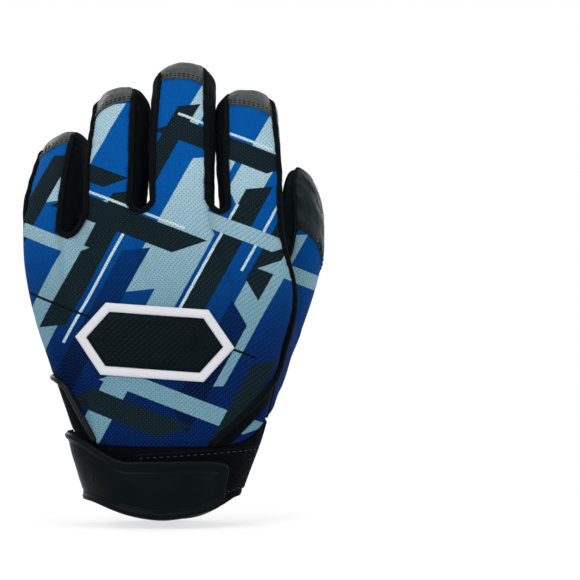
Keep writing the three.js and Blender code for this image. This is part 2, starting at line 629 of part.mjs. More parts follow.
const SLEEVE_HOLD = 0.38; // share of its run over which the sleeve holds its direction at either end
const WEB_DIP = 0.55; // how steeply the web between thumb and palm dips
function sleeve(girth, t) {
  const from = armhole(girth);
  const to = thumbTube(girth, 0);
  const run = to.clone().sub(from);
  const length = run.length();
  const web = Math.max(0, Math.cos(2 * Math.PI * girth)) ** 2;
  const dip = run.normalize().add(new THREE.Vector3(0, 0, -WEB_DIP)).normalize();
  const start = THUMB_ROOT_AXIS.clone().lerp(dip, web).normalize();
  const curve = new THREE.CubicBezierCurve3(
    from,
    from.clone().addScaledVector(start, length * SLEEVE_HOLD),
    to.clone().addScaledVector(thumbFrame(0).axis, -length * SLEEVE_HOLD),
    to,
  );
  return curve.getPoint(lerp((2.5 * SEAM) / length, 1 - SEAM / length, t));
}

const GIRTH_SEAM = 0.006; // share of the thumb's girth that a seam takes
const girthStep = 1 / ARM_PARTS;
const girths = (from, to) => {
  const list = steps(to - from, from * girthStep, to * girthStep);
  list[0] += GIRTH_SEAM;
  list[list.length - 1] -= GIRTH_SEAM;
  return list;
};
const webGirth = girths(-1, 1);
const backGirth = girths(1, ARM_STEPS + 1);
const palmGirth = girths(ARM_STEPS + 1, ARM_PARTS - 1);
const sleeveRows = steps(6, 0, 1);
piece(hand, "thumb_web", panel(sleeve, webGirth, sleeveRows), "stretch");
piece(hand, "thenar_back", panel(sleeve, backGirth, sleeveRows), "print");
piece(hand, "thenar_palm", panel(sleeve, palmGirth, sleeveRows), "palm", 0.55);

const axisSeam = SEAM / thumbAxis.getLength();
const TUBE_END = 0.995; // share of the axis where the panels stop short of the tip's point
const domeRows = steps(4, THUMB_DOME, TUBE_END).slice(1);
const tubeRows = [...steps(5, axisSeam, THUMB_DOME), ...domeRows];
// The back of the thumb is cut by a slanted seam: print below it, the leather cap above it
const [backFrom, backTo] = [backGirth[0], backGirth[backGirth.length - 1]];
const capSeam = (girth) => lerp(THUMB_CAP_INNER, THUMB_CAP_OUTER, smooth((girth - backFrom) / (backTo - backFrom)));
const lowSkin = (girth, up) => thumbTube(girth, lerp(axisSeam, capSeam(girth) - axisSeam / 2, up));
const capSkin = (girth, up) => thumbTube(girth, lerp(capSeam(girth) + axisSeam / 2, TUBE_END, up));
piece(thumb, "thumb_inner_strip", panel(thumbTube, webGirth, tubeRows), "stretch");
piece(thumb, "thumb_back", panel(lowSkin, backGirth, steps(4, 0, 1)), "print");
piece(thumb, "thumb_cap", panel(capSkin, backGirth, [...steps(4, 0, 0.6), 0.74, 0.86, 0.94, 1]), "leather", 0.5);
piece(thumb, "thumb_palm_leather", panel(thumbTube, palmGirth, tubeRows), "palm", 0.5);

// The cords in the bound seams: down the index finger's side to the cuff, and round the wrist vent
const backOf = (share, z) => handSkin(-1, BACK_EDGE, share, z);
function onBack(share, z) {
  return backOf(share, z).addScaledVector(normalAt(backOf, share, z, false), PIPING_R + SEAM);
}
const PIPING_SHORT = 3; // how far a cord stops short of the ends of its seam
const seamHeights = steps(11, footOf(-1, sideShare) + PIPING_SHORT, BACK_EDGE.at(1).z - PIPING_SHORT);
piece(hand, "side_seam_piping", cord(seamHeights.map((z) => onBack(sideShare(z), z)), PIPING_R), "leather", 0.7);

const ARCH_END = 75; // how far round the arch the cord goes
const ventHeights = [
  ...steps(4, STRAP_TOP_ROOT + PIPING_SHORT, archFoot),
  ...steps(6, 0, ARCH_END).slice(1).map((angle) => archFoot + VENT_ARCH * Math.sin(rad(angle))),
];
piece(hand, "vent_piping", cord(ventHeights.map((z) => onBack(ventShare(z), z)), PIPING_R), "leather", 0.7);

// The badge: a long hexagon that lies on the back, a field inside a rim
function insetHexagon(by) {
  const edge = Math.hypot(BADGE.slant, BADGE.high);
  const high = BADGE.high - by;
  return { half: BADGE.half - (by * edge) / BADGE.high, high, slant: (BADGE.slant * high) / BADGE.high };
}
// The point of the back's skin at a place seen from the back
function backAbove(x, z) {
  let low = 0;
  let high = 1;
  for (let k = 0; k < 40; k++) {
    const share = (low + high) / 2;
    if (handSkin(-1, BACK_EDGE, share, z).x < x) low = share;
    else high = share;
  }
  return handSkin(-1, BACK_EDGE, (low + high) / 2, z);
}
function onBadge(side, up) {
  const tilt = rad(BADGE.tilt);
  const x = BADGE.x + side * Math.cos(tilt) - up * Math.sin(tilt);
  const z = BADGE.z + side * Math.sin(tilt) + up * Math.cos(tilt);
  return backAbove(x, z);
}
function fieldSkin(s, t) {
  const { half, high, slant } = insetHexagon(BADGE_RIM + SEAM);
  return onBadge(s * (half - slant * Math.abs(t)), high * t);
}
function rimSkin(turn, out) {
  const { half, high, slant } = insetHexagon(BADGE_RIM * (1 - out));
  const flat = half - slant;
  const corners = [[half, 0], [flat, high], [-flat, high], [-half, 0], [-flat, -high], [flat, -high]];
  const at = (turn - Math.floor(turn)) * 6;
  const from = corners[Math.floor(at) % 6];
  const to = corners[(Math.floor(at) + 1) % 6];
  return onBadge(lerp(from[0], to[0], at % 1), lerp(from[1], to[1], at % 1));
}
const badgeLift = { wall: BADGE_THICK, lift: () => BADGE_THICK + SEAM };
piece(hand, "badge_field", panel(fieldSkin, steps(10, -1, 1), steps(4, -1, 1), badgeLift), "rubber", 0.45);
const RIM_STEPS = 24;
const rimTurns = steps(RIM_STEPS, 0, 1).slice(0, RIM_STEPS);
piece(hand, "badge_rim", panel(rimSkin, rimTurns, [0, 1], { ...badgeLift, flip: true, closed: true }), "rim", 0.5);

// The wrist closure: a loop patch on the cuff, and a strap with its hook patch that folds over it
const wristSkin = (share, z) => oval(-1, share, z);
const closed = SEAM * 2 + HOOK * 2; // how far the closed strap stands off the cuff over the patches
const standOff = (share) => SEAM + closed * smooth((share - STRAP_ROOT - 0.08) / (LOOP_FROM - STRAP_ROOT - 0.1));
function strapTop(share) {
  const down = smooth((share - STRAP_ROOT) / 0.3);
  const up = smooth((share - 0.45) / (STRAP_END - 0.45));
  return lerp(STRAP_TOP_ROOT, STRAP_TOP_MIDDLE, down) + (STRAP_TOP_END - STRAP_TOP_MIDDLE) * up;
}
function strapSkin(inside) {
  return (share, up) => {
    const foot = mouthEdge(wristSkin(share, HEM)) + STRAP_BOTTOM + inside;
    const head = strapTop(share) - inside;
    const round = Math.max(0, (share - STRAP_END + 0.11) / 0.115);
    const half = ((head - foot) / 2) * (1 - round ** 4) ** 0.25;
    return wristSkin(share, (head + foot) / 2 + half * (2 * up - 1));
  };
}
const strap = new THREE.Group();
strap.name = "strap";
hand.add(strap);
const strapShares = [...steps(12, STRAP_ROOT, STRAP_END - 0.11), ...steps(4, STRAP_END - 0.11, STRAP_END).slice(1)];
const webbingTop = (share) => standOff(share) + STRAP_WEBBING;
const tabTop = (share) => webbingTop(share) + SEAM + STRAP_TAB;
const strapRows = steps(4, 0, 1);
const rimShare = STRAP_RIM_WIDTH / (STRAP_TOP_MIDDLE - STRAP_BOTTOM);
const tabRows = [0, rimShare, 1.5 * rimShare, 0.5, 1 - 1.5 * rimShare, 1 - rimShare, 1];
const endShare = STRAP_END - 0.03; // where the rim crosses the tab's end
const onRim = (share, up) => share > endShare || Math.min(up, 1 - up) < 1.2 * rimShare;
const tabRise = (share, up) => (onRim(share, up) ? STRAP_RIM : 0);
const WEBBING_INSET = 1.2;
piece(
  strap,
  "strap_webbing",
  panel(strapSkin(WEBBING_INSET), strapShares.slice(0, -1), strapRows, { wall: STRAP_WEBBING, lift: webbingTop }),
  "knit",
  0.95,
);
piece(
  strap,
  "strap_tab",
  panel(strapSkin(0), strapShares, tabRows, { wall: STRAP_TAB, lift: tabTop, rise: tabRise }),
  "rubber",
  0.5,
);
const hookShares = steps(6, HOOK_FROM, STRAP_END - 0.06);
const hookTop = () => SEAM * 2 + HOOK * 2;
piece(
  strap,
  "hook_patch",
  panel(strapSkin(HOOK_INSET), hookShares, steps(3, 0, 1), { wall: HOOK, lift: hookTop }),
  "hook",
  0.95,
);
function loopSkin(share, up) {
  const foot = mouthEdge(wristSkin(share, HEM)) + LOOP_LOW;
  const head = LOOP_HIGH + (LOOP_RISE * (share - LOOP_FROM)) / (LOOP_TO - LOOP_FROM);
  return wristSkin(share, lerp(foot, head, up));
}
const loopTop = () => SEAM + HOOK;
piece(hand, "loop_patch", panel(loopSkin, steps(10, LOOP_FROM, LOOP_TO), steps(3, 0, 1), { wall: HOOK, lift: loopTop }), "hook");

// The strap's sewn root, round the side seam of the cuff
const ROOT_BACK = -0.06; // share of the palm side that the root reaches over
const rootShares = steps(5, ROOT_BACK, STRAP_ROOT - 0.006);
const rootSkin = (share, up) => {
  const foot = mouthEdge(wristSkin(share, HEM)) + STRAP_BOTTOM;
  return wristSkin(share, lerp(foot, STRAP_TOP_ROOT, up));
};
const ROOT_THICK = 2.2;
piece(
  hand,
  "strap_root",
  panel(rootSkin, rootShares, strapRows, { wall: ROOT_THICK, lift: () => SEAM + ROOT_THICK }),
  "knit",
  0.95,
);

// The joints: each axis lies just outside the material, so that its seam only ever opens
const HINGE_OUT = 0.4;
const joints = [];
function addJoint(name, body, at, axis, high) {
  joints.push({ name, body, pos: at.toArray(), axis: axis.normalize().toArray(), low: 0, high });
}
for (const finger of FINGERS) {
  const towards = new THREE.Vector3(Math.sin(rad(finger.flexTo)), Math.cos(rad(finger.flexTo)), 0);
  const ring = steps(64, 0, 2 * Math.PI).map((a) => rootOf(finger, Math.cos(a), Math.sin(a)));
  const edge = ring.reduce((best, p) => (p.dot(towards) > best.dot(towards) ? p : best));
  const axis = new THREE.Vector3(0, 0, 1).cross(towards);
  addJoint(`${finger.name}_flex`, finger.name, edge.addScaledVector(towards, HINGE_OUT), axis, FLEX_LIMIT);
}
const knuckle = thumbFrame(0);
const spread = new THREE.Vector3(1, 0, 0).addScaledVector(knuckle.axis, -knuckle.axis.x).normalize();
const knuckleRing = steps(64, 0, 1).map((girth) => thumbTube(girth, 0));
const thumbEdge = knuckleRing.reduce((best, p) => (p.dot(spread) > best.dot(spread) ? p : best));
addJoint(
  "thumb_spread",
  "thumb",
  thumbEdge.addScaledVector(spread, HINGE_OUT),
  knuckle.axis.clone().cross(spread),
  THUMB_SPREAD_LIMIT,
);
const rootEdge = [0, 1].map((up) => {
  const point = strapSkin(0)(STRAP_ROOT, up);
  return point.addScaledVector(normalAt(strapSkin(0), STRAP_ROOT, up, false), tabTop(STRAP_ROOT) + STRAP_RIM + HINGE_OUT);
});
addJoint(
  "strap_open",
  "strap",
  rootEdge[0].clone().lerp(rootEdge[1], 0.5),
  rootEdge[0].clone().sub(rootEdge[1]),
  STRAP_LIMIT,
);

glove.userData.joints = joints;
export default glove;
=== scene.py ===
# %% [markdown]
# # A sewn batting glove
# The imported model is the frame: it holds where every panel, cord and strap of the glove is, and how it
# moves. This script sews the visible glove around it. A real glove is flat panels that were cut, sewn and
# turned, so each panel here is a grid that is laid on the same surface as its solid, with its edges
# turned into the seam.

import math

import bmesh
import bpy
import numpy as np
from mathutils import Matrix, Vector


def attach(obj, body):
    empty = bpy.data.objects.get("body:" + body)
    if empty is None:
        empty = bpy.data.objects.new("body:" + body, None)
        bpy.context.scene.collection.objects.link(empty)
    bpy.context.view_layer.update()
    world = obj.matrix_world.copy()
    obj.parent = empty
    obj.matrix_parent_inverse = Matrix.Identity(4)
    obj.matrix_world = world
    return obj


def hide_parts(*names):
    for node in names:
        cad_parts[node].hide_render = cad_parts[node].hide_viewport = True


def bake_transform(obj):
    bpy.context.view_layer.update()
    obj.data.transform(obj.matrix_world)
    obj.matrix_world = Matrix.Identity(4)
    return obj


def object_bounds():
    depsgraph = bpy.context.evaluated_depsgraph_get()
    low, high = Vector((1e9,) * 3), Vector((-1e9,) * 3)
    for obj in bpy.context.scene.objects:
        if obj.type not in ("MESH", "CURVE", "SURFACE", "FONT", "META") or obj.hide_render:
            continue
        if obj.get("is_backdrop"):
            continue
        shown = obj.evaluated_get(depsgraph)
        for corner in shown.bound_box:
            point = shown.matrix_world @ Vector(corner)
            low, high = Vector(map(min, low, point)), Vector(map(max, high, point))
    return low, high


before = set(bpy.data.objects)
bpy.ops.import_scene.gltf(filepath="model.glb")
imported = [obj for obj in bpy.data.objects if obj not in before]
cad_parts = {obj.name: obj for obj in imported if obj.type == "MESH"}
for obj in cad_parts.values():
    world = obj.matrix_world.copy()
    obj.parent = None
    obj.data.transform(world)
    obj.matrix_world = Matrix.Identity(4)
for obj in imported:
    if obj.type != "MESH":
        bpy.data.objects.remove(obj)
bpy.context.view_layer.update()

# %% [markdown]
# ## The sizes
# The looks follow the solids, so the sizes that shape them are repeated here, in millimetres and degrees.
# They are shares of a hand's width, length and depth, as a glove maker grades one pattern to many sizes.

# %% Sizes of the glove
MM = 0.001
HAND_WIDTH = 103.0
HAND_LENGTH = 122.5
HAND_DEPTH = 38.0
FINGER_LENGTH = 62.0
HAND_ROUNDNESS = 2.35
KNUCKLE_HEIGHT = 34.0
CLOTH = 1.2
CUFF_WALL = 1.9
SEAM = 0.36
CUFF_TOP = 36.0
CUFF_DIP = 5.5
CUFF_CORNER = 5.0
CUFF_CORNER_POWER = 12
CUFF_RISE = 9.0
CUFF_THUMB_RISE = 10.4
CUFF_BACK_RISE = 2.4
HEM = 3.2
VENT_TOP = 58.0
VENT_ARCH = 5.0
VENT_FROM = 0.115
VENT_WIDTH = 0.195
SIDE_SEAM_TOP = 64.0
SIDE_SEAM_FOOT = 30.0
SIDE_CUT = 0.33
SIDE_BAND = 0.085
CROTCH_ROUND = 0.4

HEIGHTS = HAND_LENGTH * np.array([0, 0.147, 0.294, 0.522, 0.702, 0.931])
HAND = {
    "left": HAND_WIDTH * np.array([-0.257, -0.296, -0.352, -0.445, -0.511, -0.542]),
    "right": HAND_WIDTH * np.array([0.248, 0.311, 0.374, 0.439, 0.488, 0.458]),
    "left_depth": HAND_DEPTH * np.array([0, 0, 0.013, 0.039, 0.066, 0.079]),
    "right_depth": HAND_DEPTH * np.array([0, 0, 0, -0.013, -0.053, -0.184]),
    "back": HAND_DEPTH * np.array([0.513, 0.513, 0.513, 0.5, 0.447, 0.355]),
    "palm": HAND_DEPTH * np.array([0.487, 0.487, 0.487, 0.487, 0.421, 0.342]),
}


def lerp(a, b, t):
    return a + (b - a) * t


def smooth(t):
    t = np.clip(t, 0, 1)
    return t * t * (3 - 2 * t)


def signed_power(t, exponent):
    return np.sign(t) * np.abs(t) ** exponent


def spots(x, y, z):
    return np.stack(np.broadcast_arrays(x, y, z), axis=-1).astype(float)


def unit(v):
    return v / np.maximum(np.linalg.norm(v, axis=-1, keepdims=True), 1e-9)


def station(key, z):
    """A size of the hand at a height, on a smooth curve through its stations."""
    value = HAND[key]
    slope = np.empty_like(value)
    slope[1:-1] = (value[2:] - value[:-2]) / (HEIGHTS[2:] - HEIGHTS[:-2])
    slope[0] = (value[1] - value[0]) / (HEIGHTS[1] - HEIGHTS[0])
    slope[-1] = (value[-1] - value[-2]) / (HEIGHTS[-1] - HEIGHTS[-2])
    i = np.clip(np.searchsorted(HEIGHTS, z, side="right") - 1, 0, len(HEIGHTS) - 2)
    span = HEIGHTS[i + 1] - HEIGHTS[i]
    t = (z - HEIGHTS[i]) / span
    rise = value[i + 1] - value[i]
    a = slope[i] * span - rise
    b = rise - slope[i + 1] * span
    inside = value[i] + rise * t + t * (1 - t) * (a * (1 - t) + b * t)
    above = value[i + 1] + slope[i + 1] * (t - 1) * span
    below = value[i] + slope[i] * t * span
    return np.where(t > 1, above, np.where(t < 0, below, inside))


print("hand:", HAND_WIDTH, "mm wide,", HAND_LENGTH, "mm long and", HAND_DEPTH, "mm deep")


# %% [markdown]
# ## The hand's surface
# A hand's section is a rounded oval. It could be lofted through a few curves, but the panels have to meet
# their neighbours along seams, so one formula gives the whole skin and each panel takes its own part of
# it.

# %% The oval of the hand
def oval_at(side, angle, z):
    left = station("left", z)
    right = station("right", z)
    power = 2 / HAND_ROUNDNESS
    x = (left + right) / 2 - (right - left) / 2 * signed_power(np.cos(angle), power)
    middle = lerp(station("left_depth", z), station("right_depth", z), (x - left) / (right - left))
    swell = np.where(side < 0, -station("back", z), station("palm", z))
    return spots(x, middle + swell * np.abs(np.sin(angle)) ** power, z)


OVAL_ANGLES = np.linspace(0, math.pi, 73)
OVAL_HEIGHTS = np.linspace(-10, 140, 151)
OVAL_SHARES = np.linspace(0, 1, 145)
LAST_CELL = 1.001


def angles_by_share(side):
    """The angle at each share of the oval's length, for a list of heights."""
    rows = []
    for z in OVAL_HEIGHTS:
        ring = oval_at(side, OVAL_ANGLES, np.full(OVAL_ANGLES.shape, z))
        run = np.concatenate([[0], np.cumsum(np.linalg.norm(np.diff(ring, axis=0), axis=1))])
        rows.append(np.interp(OVAL_SHARES, run / run[-1], OVAL_ANGLES))
    return np.array(rows)


ANGLES = {-1: angles_by_share(-1), 1: angles_by_share(1)}


def look_up(table, share, z):
    row = np.clip(z - OVAL_HEIGHTS[0], 0, len(OVAL_HEIGHTS) - LAST_CELL)
    column = np.clip(share, 0, 1) * (len(OVAL_SHARES) - LAST_CELL)
    i, j = row.astype(int), column.astype(int)
    s, t = row - i, column - j
    low = lerp(table[i, j], table[i, j + 1], t)
    high = lerp(table[i + 1, j], table[i + 1, j + 1], t)
    return lerp(low, high, s)


def round_the_edge(side, share, z):
    """Past either side edge, a share goes on round the other side of the hand."""
    share, z = np.broadcast_arrays(np.asarray(share, float), np.asarray(z, float))
    past = (share < 0) | (share > 1)
    share = np.where(share < 0, -share, np.where(share > 1, 2 - share, share))
    return np.where(past, -side, side), share, z


def oval(side, share, z):
    side, share, z = round_the_edge(side, share, z)
    angle = np.where(side < 0, look_up(ANGLES[-1], share, z), look_up(ANGLES[1], share, z))
    return oval_at(side, angle, z)


print("oval: angles at", len(OVAL_HEIGHTS), "heights")


# %% [markdown]
# ## The fingers
# A finger is a square tube with rounded corners, because four strips are sewn into it: a back, a palm
# side and two side walls. It tapers, leans, rolls and curls, and a domed tip closes it.

# %% The finger's surface
FINGERS = {
    "pinky": dict(x=-0.426, y=0.15, z=0.931, half=0.1136, deep=0.266, length=0.76, taper=0.86, tip_curl=74,
                  lean=2.5, roll=-39, curl=-7, neck=1),
    "ring": dict(x=-0.1786, y=-0.008, z=1.012, half=0.1136, deep=0.284, length=0.863, taper=0.92, tip_curl=60,
                 lean=-1.5, roll=-22, curl=-5, neck=0.93),
    "middle": dict(x=0.067, y=-0.085, z=1.033, half=0.1255, deep=0.295, length=1, taper=0.95, tip_curl=60,
                   lean=-1, roll=-3, curl=-2, neck=0.98),
    "index": dict(x=0.326, y=-0.026, z=1.009, half=0.1252, deep=0.295, length=0.841, taper=0.96, tip_curl=60,
                  lean=-1, roll=10, curl=3, neck=0.93),
}
for finger in FINGERS.values():
    finger["x"] *= HAND_WIDTH
    finger["y"] *= HAND_DEPTH
    finger["z"] *= HAND_LENGTH
    finger["half"] *= HAND_WIDTH
    finger["deep"] *= HAND_DEPTH
    finger["length"] *= FINGER_LENGTH
BACK_ROUNDNESS, PALM_ROUNDNESS, TIP_ROUNDNESS = 3.4, 2.3, 2.15
NECK_LENGTH = 16.0
CURL_ROOT = 8.0
CURL_STEPS = 24
TIP_DOME = 10.5
TIP_FLAP = 4.5


def bend(f, side, deep, reach):
    """Carries a point of a finger's section to its place on the curled, leaning finger."""
    def tilt(s):
        return np.radians(lerp(CURL_ROOT, f["tip_curl"], s / (f["length"] + TIP_DOME)))

    ahead = np.zeros_like(reach)
    up = np.zeros_like(reach)
    for k in range(CURL_STEPS):
        angle = tilt((k + 0.5) / CURL_STEPS * reach)
        ahead = ahead + np.sin(angle) * reach / CURL_STEPS
        up = up + np.cos(angle) * reach / CURL_STEPS
    ahead = ahead + deep * np.cos(tilt(reach))
    up = up - deep * np.sin(tilt(reach))
    plane = math.radians(f["curl"])
    x = side * math.cos(plane) - ahead * math.sin(plane)
    y = side * math.sin(plane) + ahead * math.cos(plane)
    lean = math.radians(f["lean"])
    across = x * math.cos(lean) + up * math.sin(lean)
    height = up * math.cos(lean) - x * math.sin(lean)
    return spots(across + f["x"], y + f["y"], height + f["z"])


def finger_point(f, x, y, along, dome=0.0):
    x, y, along, dome = np.broadcast_arrays(*(np.asarray(a, float) for a in (x, y, along, dome)))
    root = lerp(BACK_ROUNDNESS, PALM_ROUNDNESS, smooth((y + 1) / 2))
    p = lerp(root, TIP_ROUNDNESS, smooth(along / tube_length(f)))
    norm = (np.abs(x) ** p + np.abs(y) ** p + np.abs(dome) ** p) ** (1 / p)
    reach = along + TIP_DOME * dome / norm
    taper = lerp(1, f["taper"], np.clip(reach / f["length"], 0, 1))
    twist = math.radians(f["roll"] - f["curl"])
    neck = lerp(f["neck"], 1, smooth(reach / NECK_LENGTH))
    wide = f["half"] * taper * neck * x / norm
    thick = f["deep"] * taper * y / norm
    side = wide * math.cos(twist) - thick * math.sin(twist)
    deep = wide * math.sin(twist) + thick * math.cos(twist)
    return bend(f, side, deep, reach)


# %% The leather's run over the tip
def tube_length(f):
    return f["length"] - TIP_DOME


def top_length(f):
    return 2 * f["deep"] * f["taper"]


def strip_length(f):
    """The leather strip's whole run: up the palm side, over the tip and down to its flap on the back."""
    return tube_length(f) + 2 * TIP_DOME + top_length(f) + TIP_FLAP


def roll_over(f, x, run):
    x, run = np.broadcast_arrays(np.asarray(x, float), np.asarray(run, float))
    tube, top = tube_length(f), top_length(f)
    over = run - tube - TIP_DOME
    down = over - top
    y = np.clip(1 - 2 * over / top, -1, 1)
    rising = np.clip((run - tube) / TIP_DOME, 0, 1)
    falling = np.clip(1 - down / TIP_DOME, 0, 1)
    along = np.where(down > TIP_DOME, tube - (down - TIP_DOME), np.minimum(run, tube))
    return finger_point(f, x, y, along, np.minimum(rising, falling))


print("leather strips in mm:", {name: round(float(strip_length(f))) for name, f in FINGERS.items()})


# %% The edge of the hand at the finger roots
def root_edge(runs):
    """The upper edge of a panel: runs along the finger roots, with a bridge that dips between each two."""
    knots = np.array([run(np.array([t]))[0] for run in runs for t in (0.0, 1.0)])
    lengths = np.linalg.norm(np.diff(knots, axis=0), axis=1)
    shares = np.concatenate([[0], np.cumsum(lengths)]) / lengths.sum()

    def at(t):
        t = np.asarray(t, float)
        flat = np.clip(t, 0, 1 - 1e-9).ravel()
        part = np.clip(np.searchsorted(shares, flat, side="right") - 1, 0, len(shares) - 2)
        local = (flat - shares[part]) / np.maximum(shares[part + 1] - shares[part], 1e-12)
        made = np.empty((flat.size, 3))
        for k in np.unique(part):
            here = part == k
            s = local[here]
            if k % 2 == 0:
                made[here] = runs[k // 2](s)
            else:
                dip = CROTCH_ROUND * lengths[k]
                made[here] = lerp(knots[k], knots[k + 1], s[:, None])
                made[here, 2] -= 4 * dip * s * (1 - s)
        return made.reshape(t.shape + (3,))

    at.shares = shares
    return at


def across_root(f, y):
    return lambda t: finger_point(f, lerp(-1, 1, t), y, 0 * t)


PINKY, INDEX = FINGERS["pinky"], FINGERS["index"]
BACK_EDGE = root_edge([across_root(f, -1) for f in FINGERS.values()])
PALM_EDGE = root_edge(
    [lambda t: finger_point(PINKY, -1, lerp(-1, 1, t), 0 * t)]
    + [across_root(f, 1) for f in FINGERS.values()]
    + [lambda t: finger_point(INDEX, 1, lerp(1, -1, t), 0 * t)]
)


def hand_skin(side, share, z):
    """The hand's oval, which turns into the four finger roots below their edge."""
    side, share, z = round_the_edge(side, share, z)
    root = np.where((side < 0)[..., None], BACK_EDGE(share), PALM_EDGE(share))
    blend = smooth((z - root[..., 2] + KNUCKLE_HEIGHT) / KNUCKLE_HEIGHT)
    made = oval(side, share, z)
    made[..., :2] = lerp(made[..., :2], root[..., :2], blend[..., None])
    return made


def cuff_top(side, share):
    """The seam between the cuff and the panels. It dips on the back and rises at the thumb's side."""
    place = oval(side, share, np.full(np.shape(share), CUFF_TOP))
    corner = np.maximum(0, place[..., 0] / station("right", CUFF_TOP)) ** CUFF_CORNER_POWER
    back = smooth(-place[..., 1] / station("back", CUFF_TOP))
    return CUFF_TOP + CUFF_CORNER * corner - CUFF_DIP * back


def foot_of(side, share_at, like):
    """The height where a line, whose share changes with height, meets the cuff."""
    z = CUFF_TOP + 0.0 * like
    for _ in range(4):
        z = cuff_top(side, share_at(z)) + SEAM
    return z


first_root, last_root = BACK_EDGE(np.array([0.0, 1.0]))
print("finger roots from", first_root.round(1), "to", last_root.round(1))

# %% [markdown]
# ## The thumb
# The thumb grows out of an armhole between the palm's curved seam and the back's edge. A sleeve bends
# from that armhole to the knuckle, and a tapering tube goes on from there.

# %% The thumb's surface
THENAR_DEPTH = 0.45
THENAR_FOOT = 0.08
THENAR_FULLNESS = (0.75, 0.45)
THUMB_CROTCH = 0.792 * HAND_LENGTH
HAND_BOX = np.array([HAND_WIDTH, HAND_DEPTH, HAND_LENGTH])
THUMB_LINE = HAND_BOX * np.array([[0.4223, 0.5526, 0.6694], [0.5223, 0.7105, 0.898], [0.5107, 0.8158, 1.151]])
THUMB_ROOT_AXIS = unit(np.array([0.45, 0.55, 0.7]))
THUMB_INNER = np.array([-0.63, -0.77, 0])
THUMB_ROOT_R = dict(inner=12.4, outer=11.6)
THUMB_TIP_R = dict(inner=9.3, outer=8.4)
THUMB_DOME = 0.62
THUMB_DOME_POWER = 2.2
THUMB_CAP_INNER = 0.58
THUMB_CAP_OUTER = 0.34
THUMB_END = 0.998
ARM_STEPS = 7
ARM_PARTS = 2 * ARM_STEPS + 2
SLEEVE_HOLD = 0.38
WEB_DIP = 0.55


def thenar_share(z):
    """The thumb's seam on the palm, as the share of the palm that lies to its left."""
    t = np.clip((z - CUFF_TOP) / (THUMB_CROTCH - CUFF_TOP), 0, 1)
    bulge = np.maximum(np.sin(math.pi * lerp(THENAR_FOOT, 1, t)), 0) ** lerp(*THENAR_FULLNESS, t)
    return np.where(t >= 1, 1, 1 - THENAR_DEPTH * bulge)


def thumb_axis(t):
    """A centripetal curve through the knuckle, the middle joint and the tip."""
    first, second, third = THUMB_LINE
    knots = np.array([2 * first - second, first, second, third, 2 * third - second])
    t = np.clip(np.asarray(t, float), 0, 1)
    part = np.minimum((2 * t).astype(int), 1)
    w = (2 * t - part)[..., None]
    p0, p1, p2, p3 = (knots[part + k] for k in range(4))
    pairs = ((p0, p1), (p1, p2), (p2, p3))
    d0, d1, d2 = (np.sqrt(np.linalg.norm(b - a, axis=-1, keepdims=True)) for a, b in pairs)
    out = ((p1 - p0) / d0 - (p2 - p0) / (d0 + d1) + (p2 - p1) / d1) * d1
    into = ((p2 - p1) / d1 - (p3 - p1) / (d1 + d2) + (p3 - p2) / d2) * d1
    square = -3 * p1 + 3 * p2 - 2 * out - into
    cube = 2 * p1 - 2 * p2 + out + into
    return p1 + out * w + square * w**2 + cube * w**3


def thumb_frame(along):
    t = np.clip(np.asarray(along, float), 0, 1)
    axis = unit(thumb_axis(t + 1e-4) - thumb_axis(t - 1e-4))
    inner = unit(THUMB_INNER - axis * (axis @ THUMB_INNER)[..., None])
    return thumb_axis(t), axis, inner, np.cross(axis, inner)


def thumb_tube(girth, along):
    """Girth runs round the thumb: 0 faces the index finger, 0.25 the back, 0.5 outwards and 0.75 the palm."""
    girth, along = np.broadcast_arrays(np.asarray(girth, float), np.asarray(along, float))
    at, axis, inner, outer = thumb_frame(along)
    close = np.maximum(0, (along - THUMB_DOME) / (1 - THUMB_DOME))
    size = np.sqrt(np.maximum(0, 1 - close**THUMB_DOME_POWER))
    neck = smooth(along / THUMB_DOME)
    angle = 2 * math.pi * girth
    wide = np.cos(angle) * size * lerp(THUMB_ROOT_R["inner"], THUMB_TIP_R["inner"], neck)
    deep = np.sin(angle) * size * lerp(THUMB_ROOT_R["outer"], THUMB_TIP_R["outer"], neck)
    return at + inner * wide[..., None] + outer * deep[..., None] + axis * np.minimum(0, along)[..., None]


# %% The thumb's armhole and sleeve
THENAR_START = foot_of(1, thenar_share, np.zeros(1))[0]
SIDE_FOOT = cuff_top(1, np.ones(1))[0] + SEAM


def armhole(girth):
    """Seven parts down the hand's side, two along the cuff's edge and seven up the palm's seam."""
    at = (girth - np.floor(girth)) * ARM_PARTS
    down = lerp(THUMB_CROTCH, SIDE_FOOT, np.clip(at / ARM_STEPS, 0, 1))
    foot_share = lerp(1, thenar_share(THENAR_START), np.clip((at - ARM_STEPS) / 2, 0, 1))
    up = lerp(THENAR_START, THUMB_CROTCH, np.clip((at - ARM_STEPS - 2) / ARM_STEPS, 0, 1))
    on_side, on_foot = at <= ARM_STEPS, at <= ARM_STEPS + 2
    z = np.where(on_side, down, np.where(on_foot, cuff_top(1, foot_share) + SEAM, up))
    share = np.where(on_side, 1, np.where(on_foot, foot_share, thenar_share(z)))
    return hand_skin(1, share, z)


def sleeve(girth, t):
    girth, t = np.broadcast_arrays(np.asarray(girth, float), np.asarray(t, float))
    start = armhole(girth)
    end = thumb_tube(girth, 0 * girth)
    run = end - start
    length = np.linalg.norm(run, axis=-1, keepdims=True)
    web = (np.maximum(0, np.cos(2 * math.pi * girth)) ** 2)[..., None]
    dip = unit(run / length - np.array([0, 0, WEB_DIP]))
    lead = unit(lerp(THUMB_ROOT_AXIS, dip, web))
    axis = thumb_frame(np.zeros_like(girth))[1]
    hold_a = start + lead * length * SLEEVE_HOLD
    hold_b = end - axis * length * SLEEVE_HOLD
    t = t[..., None]
    return start * (1 - t) ** 3 + 3 * hold_a * t * (1 - t) ** 2 + 3 * hold_b * t**2 * (1 - t) + end * t**3


